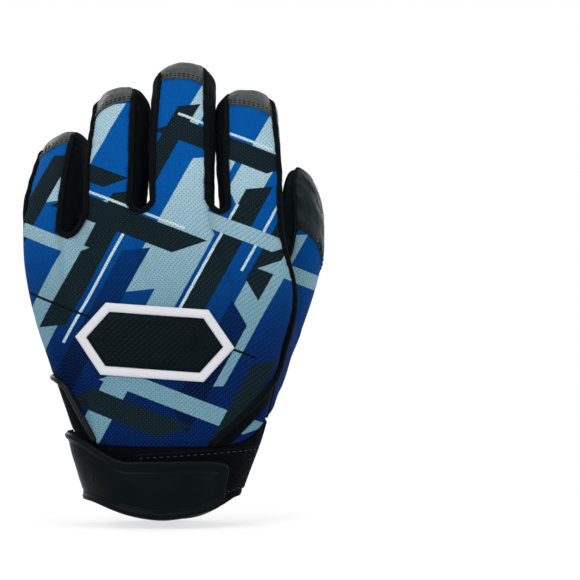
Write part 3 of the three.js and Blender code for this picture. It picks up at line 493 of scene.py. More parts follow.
def cap_seam(girth):
    low, high = 1 / ARM_PARTS, (ARM_STEPS + 1) / ARM_PARTS
    return lerp(THUMB_CAP_INNER, THUMB_CAP_OUTER, smooth((girth - low) / (high - low)))


print("thumb's seam starts", round(float(THENAR_START), 1), "mm above the mouth")


# %% [markdown]
# ## Sewing a panel
# A panel starts as a flat grid, as cloth does. Each point is carried to the surface, pushed in or out by
# the panel's relief, and turned down into the seam along the edges that are sewn. Solidify then gives the
# cloth its wall. Two attributes stay with the cloth when it bends: where it was at rest, which the print
# follows, and how far it runs across and along the panel in millimetres, which weave and grain follow.

# %% The sewing helper
TURN_RADIUS = 1.5
TURN_DEPTH = 0.75
NEAR = 1e-3
EASED = (0.6, 0.6)
FAR_FROM_SEAM = 20.0
SAME_SPOT = 2e-6


def crowd(t, amount):
    """Moves the lines of a grid towards both of its ends, where the edges turn."""
    return t - amount * np.sin(2 * math.pi * t) / (2 * math.pi)


def outward(surface, u, v, flip):
    du = surface(u + NEAR, v) - surface(u - NEAR, v)
    dv = surface(u, v + NEAR) - surface(u, v - NEAR)
    return unit(np.cross(du, dv)) * (-1 if flip else 1)


def turned_edge(distance, radius=TURN_RADIUS, depth=TURN_DEPTH):
    inside = 1 - np.clip(distance / radius, 0, 1)
    return -depth * (1 - np.sqrt(np.maximum(0, 1 - inside**2)))


def runs_of(grid, axis):
    step = np.linalg.norm(np.diff(grid, axis=axis), axis=2)
    start = np.zeros_like(np.take(step, [0], axis=axis))
    return np.concatenate([start, np.cumsum(step, axis=axis)], axis=axis)


def note(mesh, name, values):
    kind = "FLOAT_VECTOR" if values.ndim == 2 else "FLOAT"
    attribute = mesh.attributes.new(name, kind, "POINT")
    attribute.data.foreach_set("vector" if values.ndim == 2 else "value", values.astype(np.float32).ravel())


def object_of(name, bm):
    mesh = bpy.data.meshes.new(name)
    bm.to_mesh(mesh)
    bm.free()
    made = bpy.data.objects.new(name, mesh)
    bpy.context.scene.collection.objects.link(made)
    return made


# %% The sewing function
def sew(name, surface, u, v, cuts, relief=None, wall=CLOTH, flip=False, turned="", eased=EASED,
        closed=False):
    """A panel over surface(u, v). Turned names its sewn edges: l and r end u lines, b and t end v lines."""
    nu, nv = cuts
    bm = bmesh.new()
    bmesh.ops.create_grid(bm, x_segments=nu, y_segments=nv, size=1)
    flat = (np.array([vert.co[:2] for vert in bm.verts]) + 1) / 2
    column = np.rint(flat[:, 0] * nu).astype(int)
    row = np.rint(flat[:, 1] * nv).astype(int)
    us = lerp(u[0], u[1], crowd(np.linspace(0, 1, nu + 1), 0 if closed else eased[0]))
    vs = lerp(v[0], v[1], crowd(np.linspace(0, 1, nv + 1), eased[1]))
    ug, vg = np.meshgrid(us, vs)
    grid = surface(ug, vg)
    run_u, run_v = runs_of(grid, 1), runs_of(grid, 0)
    edges = dict(l=run_u, r=run_u[:, -1:] - run_u, b=run_v, t=run_v[-1:] - run_v)
    height = np.zeros_like(ug)
    seam = np.full_like(ug, FAR_FROM_SEAM)
    for edge in turned:
        height += turned_edge(edges[edge])
        seam = np.minimum(seam, edges[edge])
    across = run_u - run_u[:, nu // 2 : nu // 2 + 1]
    if relief is not None:
        height += relief(ug, vg, across, run_v, edges)
    place = grid + outward(surface, ug, vg, flip) * height[..., None]
    order = (row, column)
    for vert, spot in zip(bm.verts, place[order] * MM):
        vert.co = spot
    if flip:
        bmesh.ops.reverse_faces(bm, faces=bm.faces)
    made = object_of(name, bm)
    note(made.data, "rest", grid[order])
    note(made.data, "weave", np.stack([across, run_v, seam], axis=-1)[order])
    made.data.shade_smooth()
    if closed:
        join_ends(made)
    if wall:
        thicken = made.modifiers.new("cloth wall", "SOLIDIFY")
        thicken.thickness = wall * MM
        thicken.offset = -1
        thicken.material_offset = 1
    return made


def join_ends(made):
    """Merges the first and last lines of a grid that goes all the way round."""
    bm = bmesh.new()
    bm.from_mesh(made.data)
    bmesh.ops.remove_doubles(bm, verts=bm.verts, dist=SAME_SPOT)
    bm.to_mesh(made.data)
    bm.free()


# %% Waves, folds and gathers of the cloth
WAVES, WAVE_SUM, WAVE_START = 6, 3.2, 6.28
FOLD_ROLL = 0.45
PUCKER_PITCH = 3.4


def ripple(a, b, size, seed):
    """Soft irregular waves of about that length, between -1 and 1, the same at each run."""
    draw = np.random.RandomState(seed)
    total = 0
    for _ in range(WAVES):
        turn = draw.uniform(0, math.pi)
        pitch = 2 * math.pi / (size * draw.uniform(0.7, 1.6))
        start = draw.uniform(0, WAVE_START)
        total = total + np.sin(pitch * (a * math.cos(turn) + b * math.sin(turn)) + start)
    return total / WAVE_SUM


def crease(distance, depth, width):
    """A pressed fold: a valley with a soft roll on either side."""
    valley = -depth * np.exp(-((distance / width) ** 2))
    rolls = FOLD_ROLL * depth * np.exp(-(((np.abs(distance) - 2 * width) / width) ** 2))
    return valley + rolls


def puckers(distance, along, seed, depth=0.22, reach=3.0):
    """The small gathers that a tight seam pulls into the cloth beside it."""
    return depth * np.exp(-distance / reach) * ripple(along, 0 * along, PUCKER_PITCH, seed)


def side_puckers(edges, along, seed, depth=0.22):
    """Gathers beside the left and the right seam of a panel."""
    return puckers(edges["l"], along, seed, depth) + puckers(edges["r"], along, seed + 1, depth)


def clear_of(edges, **reaches):
    """Fades a relief out towards some edges, over a reach in millimetres for each of them."""
    made = 1
    for edge, reach in reaches.items():
        made = made * smooth(edges[edge] / reach)
    return made


def nearest_edge(edges, which="lrbt"):
    return np.min([edges[edge] for edge in which], axis=0)


def mound(x, z, wide, high):
    """A soft round hill of height 1, by the distance from its middle."""
    return np.exp(-((x / wide) ** 2) - (z / high) ** 2)


# %% [markdown]
# ## Cords and stitches
# A bound seam is a strip folded round a cord, so it is swept as a tube with rounded ends. A stitch is a
# short plump loop of thread. Each one is a low sphere that is stretched along the seam and half sunk into
# the cloth.

# %% Cord and stitch helpers
TAIL_SHARE, TAIL_SINK = 0.3, 1.3
THREAD_R = 0.24
THREAD_RISE = 0.35
LOOK_AHEAD = 0.2


def along_path(path, out, share):
    run = np.concatenate([[0], np.cumsum(np.linalg.norm(np.diff(path, axis=0), axis=1))])
    goal = share * run[-1]
    at = np.stack([np.interp(goal, run, path[:, k]) for k in range(3)], axis=-1)
    up = unit(np.stack([np.interp(goal, run, out[:, k]) for k in range(3)], axis=-1))
    return at, up, run[-1]


def cord(name, path, out, radius, around=12, step=0.8, tails=(0, 0), waver=0.0, seed=3):
    """A cord along a path. Out is the way the cloth faces, and tails are lengths that thin and sink."""
    length = along_path(path, out, np.array([0.5]))[2]

    def thinned(share):
        start = smooth(share * length / tails[0]) if tails[0] else 1
        end = smooth((1 - share) * length / tails[1]) if tails[1] else 1
        return start * end

    def surface(turn, share):
        at, up, _ = along_path(path, out, np.clip(share, 0, 1))
        ahead = along_path(path, out, np.clip(share + 0.01, 0, 1))[0]
        behind = along_path(path, out, np.clip(share - 0.01, 0, 1))[0]
        forward = unit(ahead - behind)
        side = unit(np.cross(forward, up))
        up = np.cross(side, forward)
        end = np.minimum(share, 1 - share) * length / radius
        girth = radius * np.sqrt(np.clip(1 - (1 - np.clip(end, 0, 1)) ** 2, 0, 1))
        full = lerp(TAIL_SHARE, 1, thinned(share))
        girth = girth * full * (1 + waver * ripple(share * length, 0 * share, 5, seed))
        angle = 2 * math.pi * turn
        sunk = TAIL_SINK * radius * (1 - full)
        off = side * (np.cos(angle) * girth)[..., None] + up * (np.sin(angle) * girth - sunk)[..., None]
        return at + off

    cuts = (around, max(12, int(length / step)))
    return sew(name, surface, (0, 1), (0, 1), cuts, wall=0, closed=True, eased=(0, 0.4))


def stitch(name, rows, length=2.0, pitch=2.7, radius=THREAD_R):
    """Rows of stitches. Each row is a path and the way the cloth faces along it."""
    bm = bmesh.new()
    for path, out in rows:
        whole = along_path(path, out, np.array([0.5]))[2]
        count = max(1, int(whole / pitch))
        shares = (np.arange(count) + 0.5) / count
        at, up, _ = along_path(path, out, shares)
        ahead = along_path(path, out, np.minimum(shares + LOOK_AHEAD / whole, 1))[0]
        behind = along_path(path, out, np.maximum(shares - LOOK_AHEAD / whole, 0))[0]
        forward = unit(ahead - behind)
        for spot, raised, run in zip(at, up, forward):
            side = unit(np.cross(raised, run))
            axes = np.stack([run * length / 2, side * radius, np.cross(run, side) * radius], axis=1)
            place = np.identity(4)
            place[:3, :3] = axes * MM
            place[:3, 3] = (spot + raised * radius * THREAD_RISE) * MM
            bmesh.ops.create_uvsphere(bm, u_segments=6, v_segments=5, radius=1, matrix=Matrix(place))
    made = object_of(name, bm)
    made.data.shade_smooth()
    return made


def on_surface(surface, u, v, flip=False, lift=0.0):
    """Points of a surface and the way it faces there, for a cord or a row of stitches."""
    out = outward(surface, u, v, flip)
    return surface(u, v) + out * lift, out


# %% [markdown]
# ## Helpers for materials
# Each finish is built from nodes. Effects that several finishes share, such as grain or weave, are node
# groups.

# %% Node helpers
def srgb(red, green, blue):
    """A colour as a screen shows it, from 0 to 255, as the linear colour that the shader needs."""
    def linear(c):
        return ((c / 255 + 0.055) / 1.055) ** 2.4 if c > 10 else c / 255 / 12.92

    return linear(red), linear(green), linear(blue), 1


def put(tree, kind, values=None, **settings):
    """A node with its options set and its sockets filled by a number, a colour or a link."""
    made = tree.nodes.new("ShaderNode" + kind)
    for option, choice in settings.items():
        setattr(made, option, choice)
    for socket, value in (values or {}).items():
        if isinstance(value, bpy.types.NodeSocket):
            tree.links.new(value, made.inputs[socket])
        else:
            made.inputs[socket].default_value = value
    return made


def calc(tree, operation, *values, clamp=False):
    made = put(tree, "Math", dict(enumerate(values)), operation=operation, use_clamp=clamp)
    return made.outputs[0]


def ramp(tree, value, low, high, start=0.0, end=1.0):
    """A soft step of a value between two levels."""
    values = {"Value": value, "From Min": low, "From Max": high, "To Min": start, "To Max": end}
    return put(tree, "MapRange", values, interpolation_type="SMOOTHSTEP").outputs["Result"]


def blend_colour(tree, share, first, second, mode="MIX"):
    made = put(tree, "Mix", {0: share, 6: first, 7: second}, data_type="RGBA", blend_type=mode)
    return made.outputs[2]


# %% Helpers for groups and finishes
def distance_of(tree, x, y):
    squares = calc(tree, "ADD", calc(tree, "MULTIPLY", x, x), calc(tree, "MULTIPLY", y, y))
    return calc(tree, "SQRT", squares)


def shader_group(name, inputs, outputs):
    """An empty group. Its sockets are vectors (v), numbers (f) or colours (c)."""
    tree = bpy.data.node_groups.new(name, "ShaderNodeTree")
    kinds = {"v": "NodeSocketVector", "f": "NodeSocketFloat", "c": "NodeSocketColor"}
    for label, kind in inputs.items():
        tree.interface.new_socket(label, in_out="INPUT", socket_type=kinds[kind])
    for label, kind in outputs.items():
        tree.interface.new_socket(label, in_out="OUTPUT", socket_type=kinds[kind])
    start = tree.nodes.new("NodeGroupInput")
    end = tree.nodes.new("NodeGroupOutput")
    return tree, start.outputs, end.inputs


def place_group(tree, group, values):
    return put(tree, "Group", values, node_tree=group).outputs


def attribute(tree, name):
    return put(tree, "Attribute", attribute_name=name, attribute_type="GEOMETRY").outputs


def finish(name, roughness=0.6, specular=0.5, **settings):
    """A material with its shader and its cloth coordinates: across, along and distance from the seam."""
    material = bpy.data.materials.new(name)
    material.use_nodes = True
    tree = material.node_tree
    shader = tree.nodes["Principled BSDF"]
    shader.inputs["Roughness"].default_value = roughness
    shader.inputs["Specular IOR Level"].default_value = specular
    for socket, value in settings.items():
        shader.inputs[socket.replace("_", " ").title()].default_value = value
    weave = attribute(tree, "weave")["Vector"]
    return material, tree, shader, weave


def raise_bump(tree, shader, height, distance, strength=1.0):
    made = put(tree, "Bump", {"Height": height, "Distance": distance, "Strength": strength})
    tree.links.new(made.outputs[0], shader.inputs["Normal"])


# %% [markdown]
# ## Shared effects
# Four effects come back on this glove: the eyelets of the mesh cloth, the grain of leather, the loops of
# a knit, and the pressed dashes of the palm. Each reads the cloth's own millimetres, so it bends with the
# cloth.

# %% Effect groups
EYELET_RIM = 0.35
DASH_DRIFT = (2.2, 1.6, 0)
DASH_EDGE = (0.1, 0.34)
CIRCLE = 6.2832
COURSE_DEPTH = 0.3
FOLD_DEPTH = 0.8


def stagger(tree, place, pitch, row):
    """Cells of staggered rows: how far a point is from its cell's middle, across and along."""
    parts = put(tree, "SeparateXYZ", {0: place}).outputs
    across = calc(tree, "DIVIDE", parts[0], pitch)
    along = calc(tree, "DIVIDE", parts[1], row)
    line = calc(tree, "FLOOR", along)
    odd = calc(tree, "MODULO", calc(tree, "ABSOLUTE", line), 2.0)
    shifted = calc(tree, "MULTIPLY_ADD", odd, 0.5, across)
    x = calc(tree, "MULTIPLY", calc(tree, "SUBTRACT", calc(tree, "FRACT", shifted), 0.5), pitch)
    y = calc(tree, "MULTIPLY", calc(tree, "SUBTRACT", calc(tree, "FRACT", along), 0.5), row)
    return x, y


def eyelet_group():
    inputs = dict(Place="v", Pitch="f", Row="f", Size="f")
    tree, given, out = shader_group("mesh eyelets", inputs, dict(Hole="f"))
    x, y = stagger(tree, given["Place"], given["Pitch"], given["Row"])
    far = distance_of(tree, x, y)
    rim = calc(tree, "MULTIPLY", given["Size"], EYELET_RIM)
    tree.links.new(ramp(tree, far, rim, given["Size"], 1.0, 0.0), out["Hole"])
    return tree


def dash_group():
    inputs = dict(Place="v", Pitch="f", Row="f", Half="f")
    tree, given, out = shader_group("pressed dashes", inputs, dict(Dash="f"))
    drift = put(tree, "TexNoise", {"Vector": given["Place"], "Scale": 0.12, "Detail": 1.0}).outputs["Color"]
    moved = put(tree, "VectorMath", {0: drift, 1: DASH_DRIFT, 2: given["Place"]}, operation="MULTIPLY_ADD")
    x, y = stagger(tree, moved.outputs[0], given["Pitch"], given["Row"])
    past = calc(tree, "MAXIMUM", calc(tree, "SUBTRACT", calc(tree, "ABSOLUTE", x), given["Half"]), 0.0)
    far = distance_of(tree, past, y)
    tree.links.new(ramp(tree, far, *DASH_EDGE, 1.0, 0.0), out["Dash"])
    return tree


def grain_group():
    inputs = dict(Place="v", Size="f")
    tree, given, out = shader_group("leather grain", inputs, dict(Height="f", Tone="f"))
    scale = calc(tree, "DIVIDE", 1.0, given["Size"])
    cells = put(tree, "TexVoronoi", {"Vector": given["Place"], "Scale": scale, "Randomness": 0.9},
                feature="DISTANCE_TO_EDGE").outputs["Distance"]
    folds = {"Vector": given["Place"], "Scale": 0.3, "Detail": 4.0, "Roughness": 0.6}
    fold = put(tree, "TexNoise", folds).outputs[0]
    pebble = ramp(tree, cells, 0.0, 0.25)
    tree.links.new(calc(tree, "MULTIPLY_ADD", fold, FOLD_DEPTH, pebble), out["Height"])
    tree.links.new(fold, out["Tone"])
    return tree


def knit_group():
    inputs = dict(Place="v", Wale="f", Course="f")
    tree, given, out = shader_group("knit loops", inputs, dict(Height="f", Fuzz="f"))
    parts = put(tree, "SeparateXYZ", {0: given["Place"]}).outputs
    across = calc(tree, "DIVIDE", calc(tree, "MULTIPLY", parts[0], CIRCLE), given["Wale"])
    wale = calc(tree, "ABSOLUTE", calc(tree, "SINE", across))
    leaning = calc(tree, "MULTIPLY_ADD", wale, given["Course"], parts[1])
    along = calc(tree, "DIVIDE", calc(tree, "MULTIPLY", leaning, CIRCLE), given["Course"])
    loops = calc(tree, "MULTIPLY_ADD", calc(tree, "SINE", along), COURSE_DEPTH, wale)
    fuzz = put(tree, "TexNoise", {"Vector": given["Place"], "Scale": 1.6, "Detail": 3.0}).outputs[0]
    tree.links.new(loops, out["Height"])
    tree.links.new(fuzz, out["Fuzz"])
    return tree


EYELETS, DASHES, GRAIN, KNIT = eyelet_group(), dash_group(), grain_group(), knit_group()
print("effects:", [g.name for g in bpy.data.node_groups])

# %% [markdown]
# ## The printed cloth
# The back is a pale mesh cloth that was printed in blues and charcoal. The print here is a plain sporty
# one: slanted bars with slanted ends, laid in two directions. It could be drawn as an image, but bars are
# simple to compute and stay sharp. Each bar is a parallelogram that the group below measures from its
# middle.

# %% The bar group
BAR_EDGE = 0.12


def bar_group():
    inputs = {"Place": "v", "Turn": "f", "Half Width": "f", "Half Length": "f", "Slant": "f"}
    tree, given, out = shader_group("printed bar", inputs, dict(Bar="f"))
    parts = put(tree, "SeparateXYZ", {0: given["Place"]}).outputs
    cosine, sine = calc(tree, "COSINE", given["Turn"]), calc(tree, "SINE", given["Turn"])
    run = calc(tree, "MULTIPLY_ADD", parts[0], cosine, calc(tree, "MULTIPLY", parts[2], sine))
    fall = calc(tree, "MULTIPLY", parts[0], sine)
    rise = calc(tree, "SUBTRACT", calc(tree, "MULTIPLY", parts[2], cosine), fall)
    far = calc(tree, "SUBTRACT", calc(tree, "ABSOLUTE", rise), given["Half Width"])
    ends = calc(tree, "ABSOLUTE", calc(tree, "MULTIPLY_ADD", rise, given["Slant"], run))
    past = calc(tree, "SUBTRACT", ends, given["Half Length"])
    outside = calc(tree, "MAXIMUM", far, past)
    tree.links.new(ramp(tree, outside, -BAR_EDGE, BAR_EDGE, 1.0, 0.0), out["Bar"])
    return tree


BAR = bar_group()

# %% Colours and bars of the print
BLUE, BLUE_SHADED = srgb(0, 79, 154), srgb(2, 27, 76)
NAVY, NAVY_SHADED = srgb(0, 52, 116), srgb(3, 16, 52)
PALE, PALE_SHADED = srgb(158, 190, 202), srgb(108, 148, 164)
CHARCOAL, INK = srgb(17, 29, 32), srgb(6, 12, 18)
LIGHT = srgb(186, 208, 216)
UNDER_EYELETS = srgb(36, 68, 88)
# Heights between which the print darkens towards the wrist: painted shade of the light from above
BLUE_SHADE_HEIGHTS, PALE_SHADE_HEIGHTS = (140.0, 52.0), (150.0, 70.0)

# Each bar: colour, middle (x, z), turn in degrees, half width, half length and slant of its ends
STEEP, SHALLOW = 61, -21
BARS = [
    ("pale", (-41, 92), STEEP, 6.5, 40, 0.7),
    ("pale", (-12, 66), STEEP, 5.0, 60, -0.6),
    ("pale", (6, 118), STEEP, 7.5, 30, 0.7),
    ("pale", (33, 84), STEEP, 6.0, 34, 0.6),
    ("pale", (40, 146), STEEP, 6.0, 24, -0.7),
    ("pale", (-32, 146), STEEP, 4.6, 22, 0.7),
    ("pale", (15, 167), STEEP, 3.4, 18, 0.7),
    ("navy", (-27, 78), STEEP, 4.5, 34, 0.7),
    ("navy", (18, 62), STEEP, 5.0, 24, -0.6),
    ("charcoal", (-29, 104), STEEP, 4.6, 30, 0.7),
    ("charcoal", (21, 102), STEEP, 4.4, 34, 0.7),
    ("charcoal", (49, 118), STEEP, 4.2, 30, -0.6),
    ("charcoal", (-3, 142), STEEP, 3.6, 26, 0.7),
    ("charcoal", (-50, 128), STEEP, 3.6, 20, 0.6),
    ("light", (-22.6, 101), STEEP, 0.55, 34, 0),
    ("light", (14.4, 99), STEEP, 0.55, 30, 0),
    ("light", (43, 122), STEEP, 0.5, 26, 0),
    ("charcoal", (-14, 118), SHALLOW, 4.6, 26, -1.2),
    ("pale", (26, 116), SHALLOW, 3.0, 22, -1.2),
    ("charcoal", (24, 148), SHALLOW, 4.2, 24, -1.2),
    ("pale", (-46, 112), SHALLOW, 2.6, 14, -1.2),
    ("charcoal", (-30, 138), SHALLOW, 3.4, 12, -1.2),
    ("light", (-14, 124.4), SHALLOW, 0.5, 24, 0),
    ("pale", (8, 48), SHALLOW, 3.4, 30, -1.2),
    ("charcoal", (-14, 44), SHALLOW, 4.4, 20, -1.2),
    ("light", (24, 154), SHALLOW, 0.5, 20, 0),
    ("ink", (24, 70), SHALLOW, 0.5, 13, 0),
    ("ink", (-36, 84), SHALLOW, 0.5, 20, 0),
    ("pale", (56, 96), SHALLOW, 3.0, 16, -1.2),
    ("charcoal", (30, 46), STEEP, 4.0, 20, 0.7),
]
print("print:", len(BARS), "bars")


# %% The printed finish
PRINT_BUMP, EYELET_DEPTH, EYELET_SHOWN = 0.12 * MM, 1.4, 0.55


def printed_cloth():
    material, tree, shader, weave = finish("printed mesh cloth", 0.8, 0.02)
    rest = attribute(tree, "rest")["Vector"]
    height = put(tree, "SeparateXYZ", {0: rest}).outputs[2]
    # Painted shade: blue, navy and pale are darkened towards the wrist, as the light from above falls off
    low = ramp(tree, height, *BLUE_SHADE_HEIGHTS)
    pale_shading = ramp(tree, height, *PALE_SHADE_HEIGHTS)
    shades = {
        "pale": blend_colour(tree, pale_shading, PALE, PALE_SHADED),
        "navy": blend_colour(tree, low, NAVY, NAVY_SHADED),
        "light": LIGHT,
        "charcoal": CHARCOAL,
        "ink": INK,
    }
    colour = blend_colour(tree, low, BLUE, BLUE_SHADED)
    for shade, (x, z), turn, half, length, slant in BARS:
        moved = put(tree, "VectorMath", {0: rest, 1: (x, 0, z)}, operation="SUBTRACT").outputs[0]
        size = {"Half Width": half, "Half Length": length, "Slant": slant}
        bar = place_group(tree, BAR, {"Place": moved, "Turn": math.radians(turn), **size})["Bar"]
        colour = blend_colour(tree, bar, colour, shades[shade])
    hole = place_group(tree, EYELETS, {"Place": weave, "Pitch": 1.7, "Row": 0.85, "Size": 0.36})["Hole"]
    knit = place_group(tree, KNIT, {"Place": weave, "Wale": 1.1, "Course": 0.8})
    thread = ramp(tree, knit["Fuzz"], 0.25, 0.75, 0.82, 1.14)
    colour = blend_colour(tree, 1.0, colour, thread, "MULTIPLY")
    colour = blend_colour(tree, calc(tree, "MULTIPLY", hole, EYELET_SHOWN), colour, UNDER_EYELETS)
    tree.links.new(colour, shader.inputs["Base Color"])
    relief = calc(tree, "MULTIPLY_ADD", hole, -EYELET_DEPTH, knit["Height"])
    raise_bump(tree, shader, relief, PRINT_BUMP)
    return material


# %% [markdown]
# ## Leather, knit and rubber
# The thumb's cap is a grey synthetic leather with a fine grain, and the black finger strips are painted
# lighter over the top of each tip, a painted highlight of the light from above. The palm is black, with rows
# of pressed dashes that fade out where the leather is smooth, painted lighter grey as a painted highlight on
# their raised faces. Cuff and side walls are knits, and the strap's tab is moulded rubber.

# %% Leather
LEATHER_GLOSS, LEATHER_BUMP, GRAIN_SIZE = 0.1, 0.08 * MM, 0.8
SEAM_SHADE, SEAM_REACH = 0.55, 1.8
TIP_HIGHLIGHT, DASH_HIGHLIGHT = srgb(57, 63, 62), srgb(66, 70, 71)
DASH_HIGHLIGHT_SHARE, DASH_RISE, DASHED_GRAIN = 0.8, 3.0, 0.6


def leather(name, tone, dark, roughness, dashes):
    material, tree, shader, weave = finish(name, roughness, LEATHER_GLOSS)
    grain = place_group(tree, GRAIN, {"Place": weave, "Size": GRAIN_SIZE})
    worn = ramp(tree, grain["Tone"], 0.3, 0.75)
    colour = blend_colour(tree, worn, dark, tone)
    distance = put(tree, "SeparateXYZ", {0: weave}).outputs[2]
    seam = ramp(tree, distance, 0.0, SEAM_REACH, SEAM_SHADE, 1.0)
    colour = blend_colour(tree, 1.0, colour, seam, "MULTIPLY")
    height = grain["Height"]
    if dashes:
        # Painted highlight: on the finger tips the leather is painted lighter over the top, where the light
        # from above falls
        mottle = ramp(tree, grain["Tone"], 0.2, 0.8, 0.7, 1.0)
        tip_highlight = calc(tree, "MULTIPLY", attribute(tree, "tip_highlight")["Fac"], mottle)
        colour = blend_colour(tree, tip_highlight, colour, TIP_HIGHLIGHT)
        shown = attribute(tree, "pressed")["Fac"]
        dash = place_group(tree, DASHES, {"Place": weave, "Pitch": 3.0, "Row": 1.65, "Half": 0.42})["Dash"]
        dash = calc(tree, "MULTIPLY", dash, shown)
        # Painted highlight: the raised dashes are painted lighter grey, as the light catches them
        colour = blend_colour(tree, calc(tree, "MULTIPLY", dash, DASH_HIGHLIGHT_SHARE), colour, DASH_HIGHLIGHT)
        height = calc(tree, "MULTIPLY_ADD", dash, DASH_RISE, calc(tree, "MULTIPLY", height, DASHED_GRAIN))
    tree.links.new(colour, shader.inputs["Base Color"])
    rough = ramp(tree, grain["Tone"], 0.2, 0.8, roughness + 0.1, roughness - 0.08)
    tree.links.new(rough, shader.inputs["Roughness"])
    raise_bump(tree, shader, height, LEATHER_BUMP)
    return material


# %% Knit, rubber, pile and thread
KNIT_BUMP, RUBBER_BUMP, PILE_BUMP, THREAD_BUMP = 0.1 * MM, 0.03 * MM, 0.3 * MM, 0.06 * MM
FIBRE_SCALE = 2600.0


def knitted(name, colour, dark, wale, course, deep=KNIT_BUMP, sheen=0.012):
    material, tree, shader, weave = finish(name, 0.92, 0.025, sheen_weight=sheen, sheen_roughness=0.45)
    knit = place_group(tree, KNIT, {"Place": weave, "Wale": wale, "Course": course})
    tone = calc(tree, "MULTIPLY_ADD", knit["Height"], 0.4, calc(tree, "MULTIPLY", knit["Fuzz"], 0.6))
    tree.links.new(blend_colour(tree, ramp(tree, tone, 0.1, 0.9), dark, colour), shader.inputs["Base Color"])
    raise_bump(tree, shader, calc(tree, "MULTIPLY_ADD", knit["Fuzz"], 0.5, knit["Height"]), deep)
    return material


def moulded(name, colour, dark, roughness, specular=0.06):
    material, tree, shader, weave = finish(name, roughness, specular)
    speck = put(tree, "TexNoise", {"Vector": weave, "Scale": 3.0, "Detail": 2.0}).outputs[0]
    smear = put(tree, "TexNoise", {"Vector": weave, "Scale": 0.09, "Detail": 2.0}).outputs[0]
    tree.links.new(blend_colour(tree, smear, dark, colour), shader.inputs["Base Color"])
    rough = ramp(tree, smear, 0.3, 0.7, roughness - 0.06, roughness + 0.1)
    tree.links.new(rough, shader.inputs["Roughness"])
    raise_bump(tree, shader, speck, RUBBER_BUMP)
    return material


def pile(name, colour, dark, scale):
    """The hooks or loops of a fastener: a short rough pile."""
    material, tree, shader, weave = finish(name, 1.0, 0.03, sheen_weight=0.02, sheen_roughness=0.5)
    tuft = put(tree, "TexVoronoi", {"Vector": weave, "Scale": scale}).outputs["Distance"]
    tree.links.new(blend_colour(tree, ramp(tree, tuft, 0.1, 0.6), colour, dark), shader.inputs["Base Color"])
    raise_bump(tree, shader, calc(tree, "SUBTRACT", 1.0, tuft), PILE_BUMP)
    return material


def twisted_thread(name, colour, dark):
    material, tree, shader, _ = finish(name, 0.6, 0.08)
    place = put(tree, "TexCoord").outputs["Object"]
    fibre = put(tree, "TexNoise", {"Vector": place, "Scale": FIBRE_SCALE, "Detail": 1.0}).outputs[0]
    tree.links.new(blend_colour(tree, fibre, dark, colour), shader.inputs["Base Color"])
    raise_bump(tree, shader, fibre, THREAD_BUMP)
    return material


# %% The finishes of this glove
FINISH = {
    "print": printed_cloth(),
    "tip": leather("tip leather", srgb(24, 36, 38), srgb(15, 25, 27), 0.5, False),
    "palm": leather("palm leather", srgb(13, 15, 17), srgb(5, 6, 8), 0.44, True),
    "stretch": knitted("stretch knit", srgb(5, 12, 17), srgb(1, 5, 8), 0.7, 0.6, sheen=0.008),
    "thumb knit": knitted("thumb knit", srgb(20, 33, 36), srgb(10, 19, 22), 0.7, 0.6),
    "cuff": knitted("cuff knit", srgb(6, 12, 16), srgb(2, 5, 7), 1.1, 0.9, 0.16 * MM, 0.007),
    "binding": knitted("seam binding", srgb(12, 16, 18), srgb(4, 6, 8), 0.6, 0.6, 0.06 * MM),
    "gloss": moulded("glossy binding", srgb(10, 13, 14), srgb(4, 6, 7), 0.3, 0.12),
    "rubber": moulded("strap rubber", srgb(4, 12, 15), srgb(2, 8, 10), 0.34, 0.045),
    "badge": moulded("badge rubber", srgb(5, 17, 20), srgb(2, 10, 12), 0.34, 0.035),
    "rim": moulded("badge rim", srgb(200, 201, 205), srgb(190, 191, 196), 0.5, 0.02),
    "pile": pile("hook and loop pile", srgb(7, 12, 15), srgb(2, 4, 5), 1.7),
    "lining": knitted("lining", srgb(30, 32, 34), srgb(14, 15, 16), 1.4, 1.1),
    "thread": twisted_thread("thread", srgb(20, 23, 24), srgb(6, 7, 8)),
    "grey thread": twisted_thread("grey thread", srgb(52, 55, 55), srgb(26, 28, 28)),
    "pale thread": twisted_thread("pale thread", srgb(72, 76, 76), srgb(38, 41, 41)),
}
print("finishes:", list(FINISH))

# %% [markdown]
# ## Dressing the bodies
# Hand pieces ride on the hand. A finger's cloth crosses its knuckle, so it is left where it stands, and a
# short line from the knuckle a little way up the finger is kept for it. The same goes for the thumb and for
# the strap's root.

# %% Where the cloth bends
BEND_LENGTH = 20.0
THUMB_BEND = 16.0
STRAP_BEND = 7.0


def finger_bend(f):
    start, end = bend(f, np.zeros(2), np.zeros(2), np.array([0.0, 1.0]))
    return start, start + unit(end - start) * BEND_LENGTH


BENDS = {name: finger_bend(f) for name, f in FINGERS.items()}
knuckle, knuckle_axis = (part[0] for part in thumb_frame(np.zeros(1))[:2])
BENDS["thumb"] = (knuckle, knuckle + knuckle_axis * THUMB_BEND)
print("bends:", ", ".join(BENDS))


def dress(piece, finish_name, slot, body, *nodes):
    piece.data.materials.append(FINISH[finish_name])
    piece.data.materials.append(FINISH["lining"])
    if body in BENDS:
        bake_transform(piece)
    else:
        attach(piece, body)
    if nodes:
        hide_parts(*nodes)
    return piece


def press(piece, values):
    """How strongly the dashes are pressed into the leather, as one value or point by point."""
    note(piece.data, "pressed", np.broadcast_to(np.asarray(values, float), len(piece.data.vertices)))


def noted(piece, name):
    values = np.zeros(3 * len(piece.data.vertices), np.float32)
    piece.data.attributes[name].data.foreach_get("vector", values)
    return values.reshape(-1, 3)


def rest_of(piece):
    return noted(piece, "rest")


def lay_grain(piece, across, along):
    """Turns the grain of a panel to rows of its own."""
    values = noted(piece, "weave")
    values[:, 0], values[:, 1] = across, along
    piece.data.attributes["weave"].data.foreach_set("vector", values.ravel())


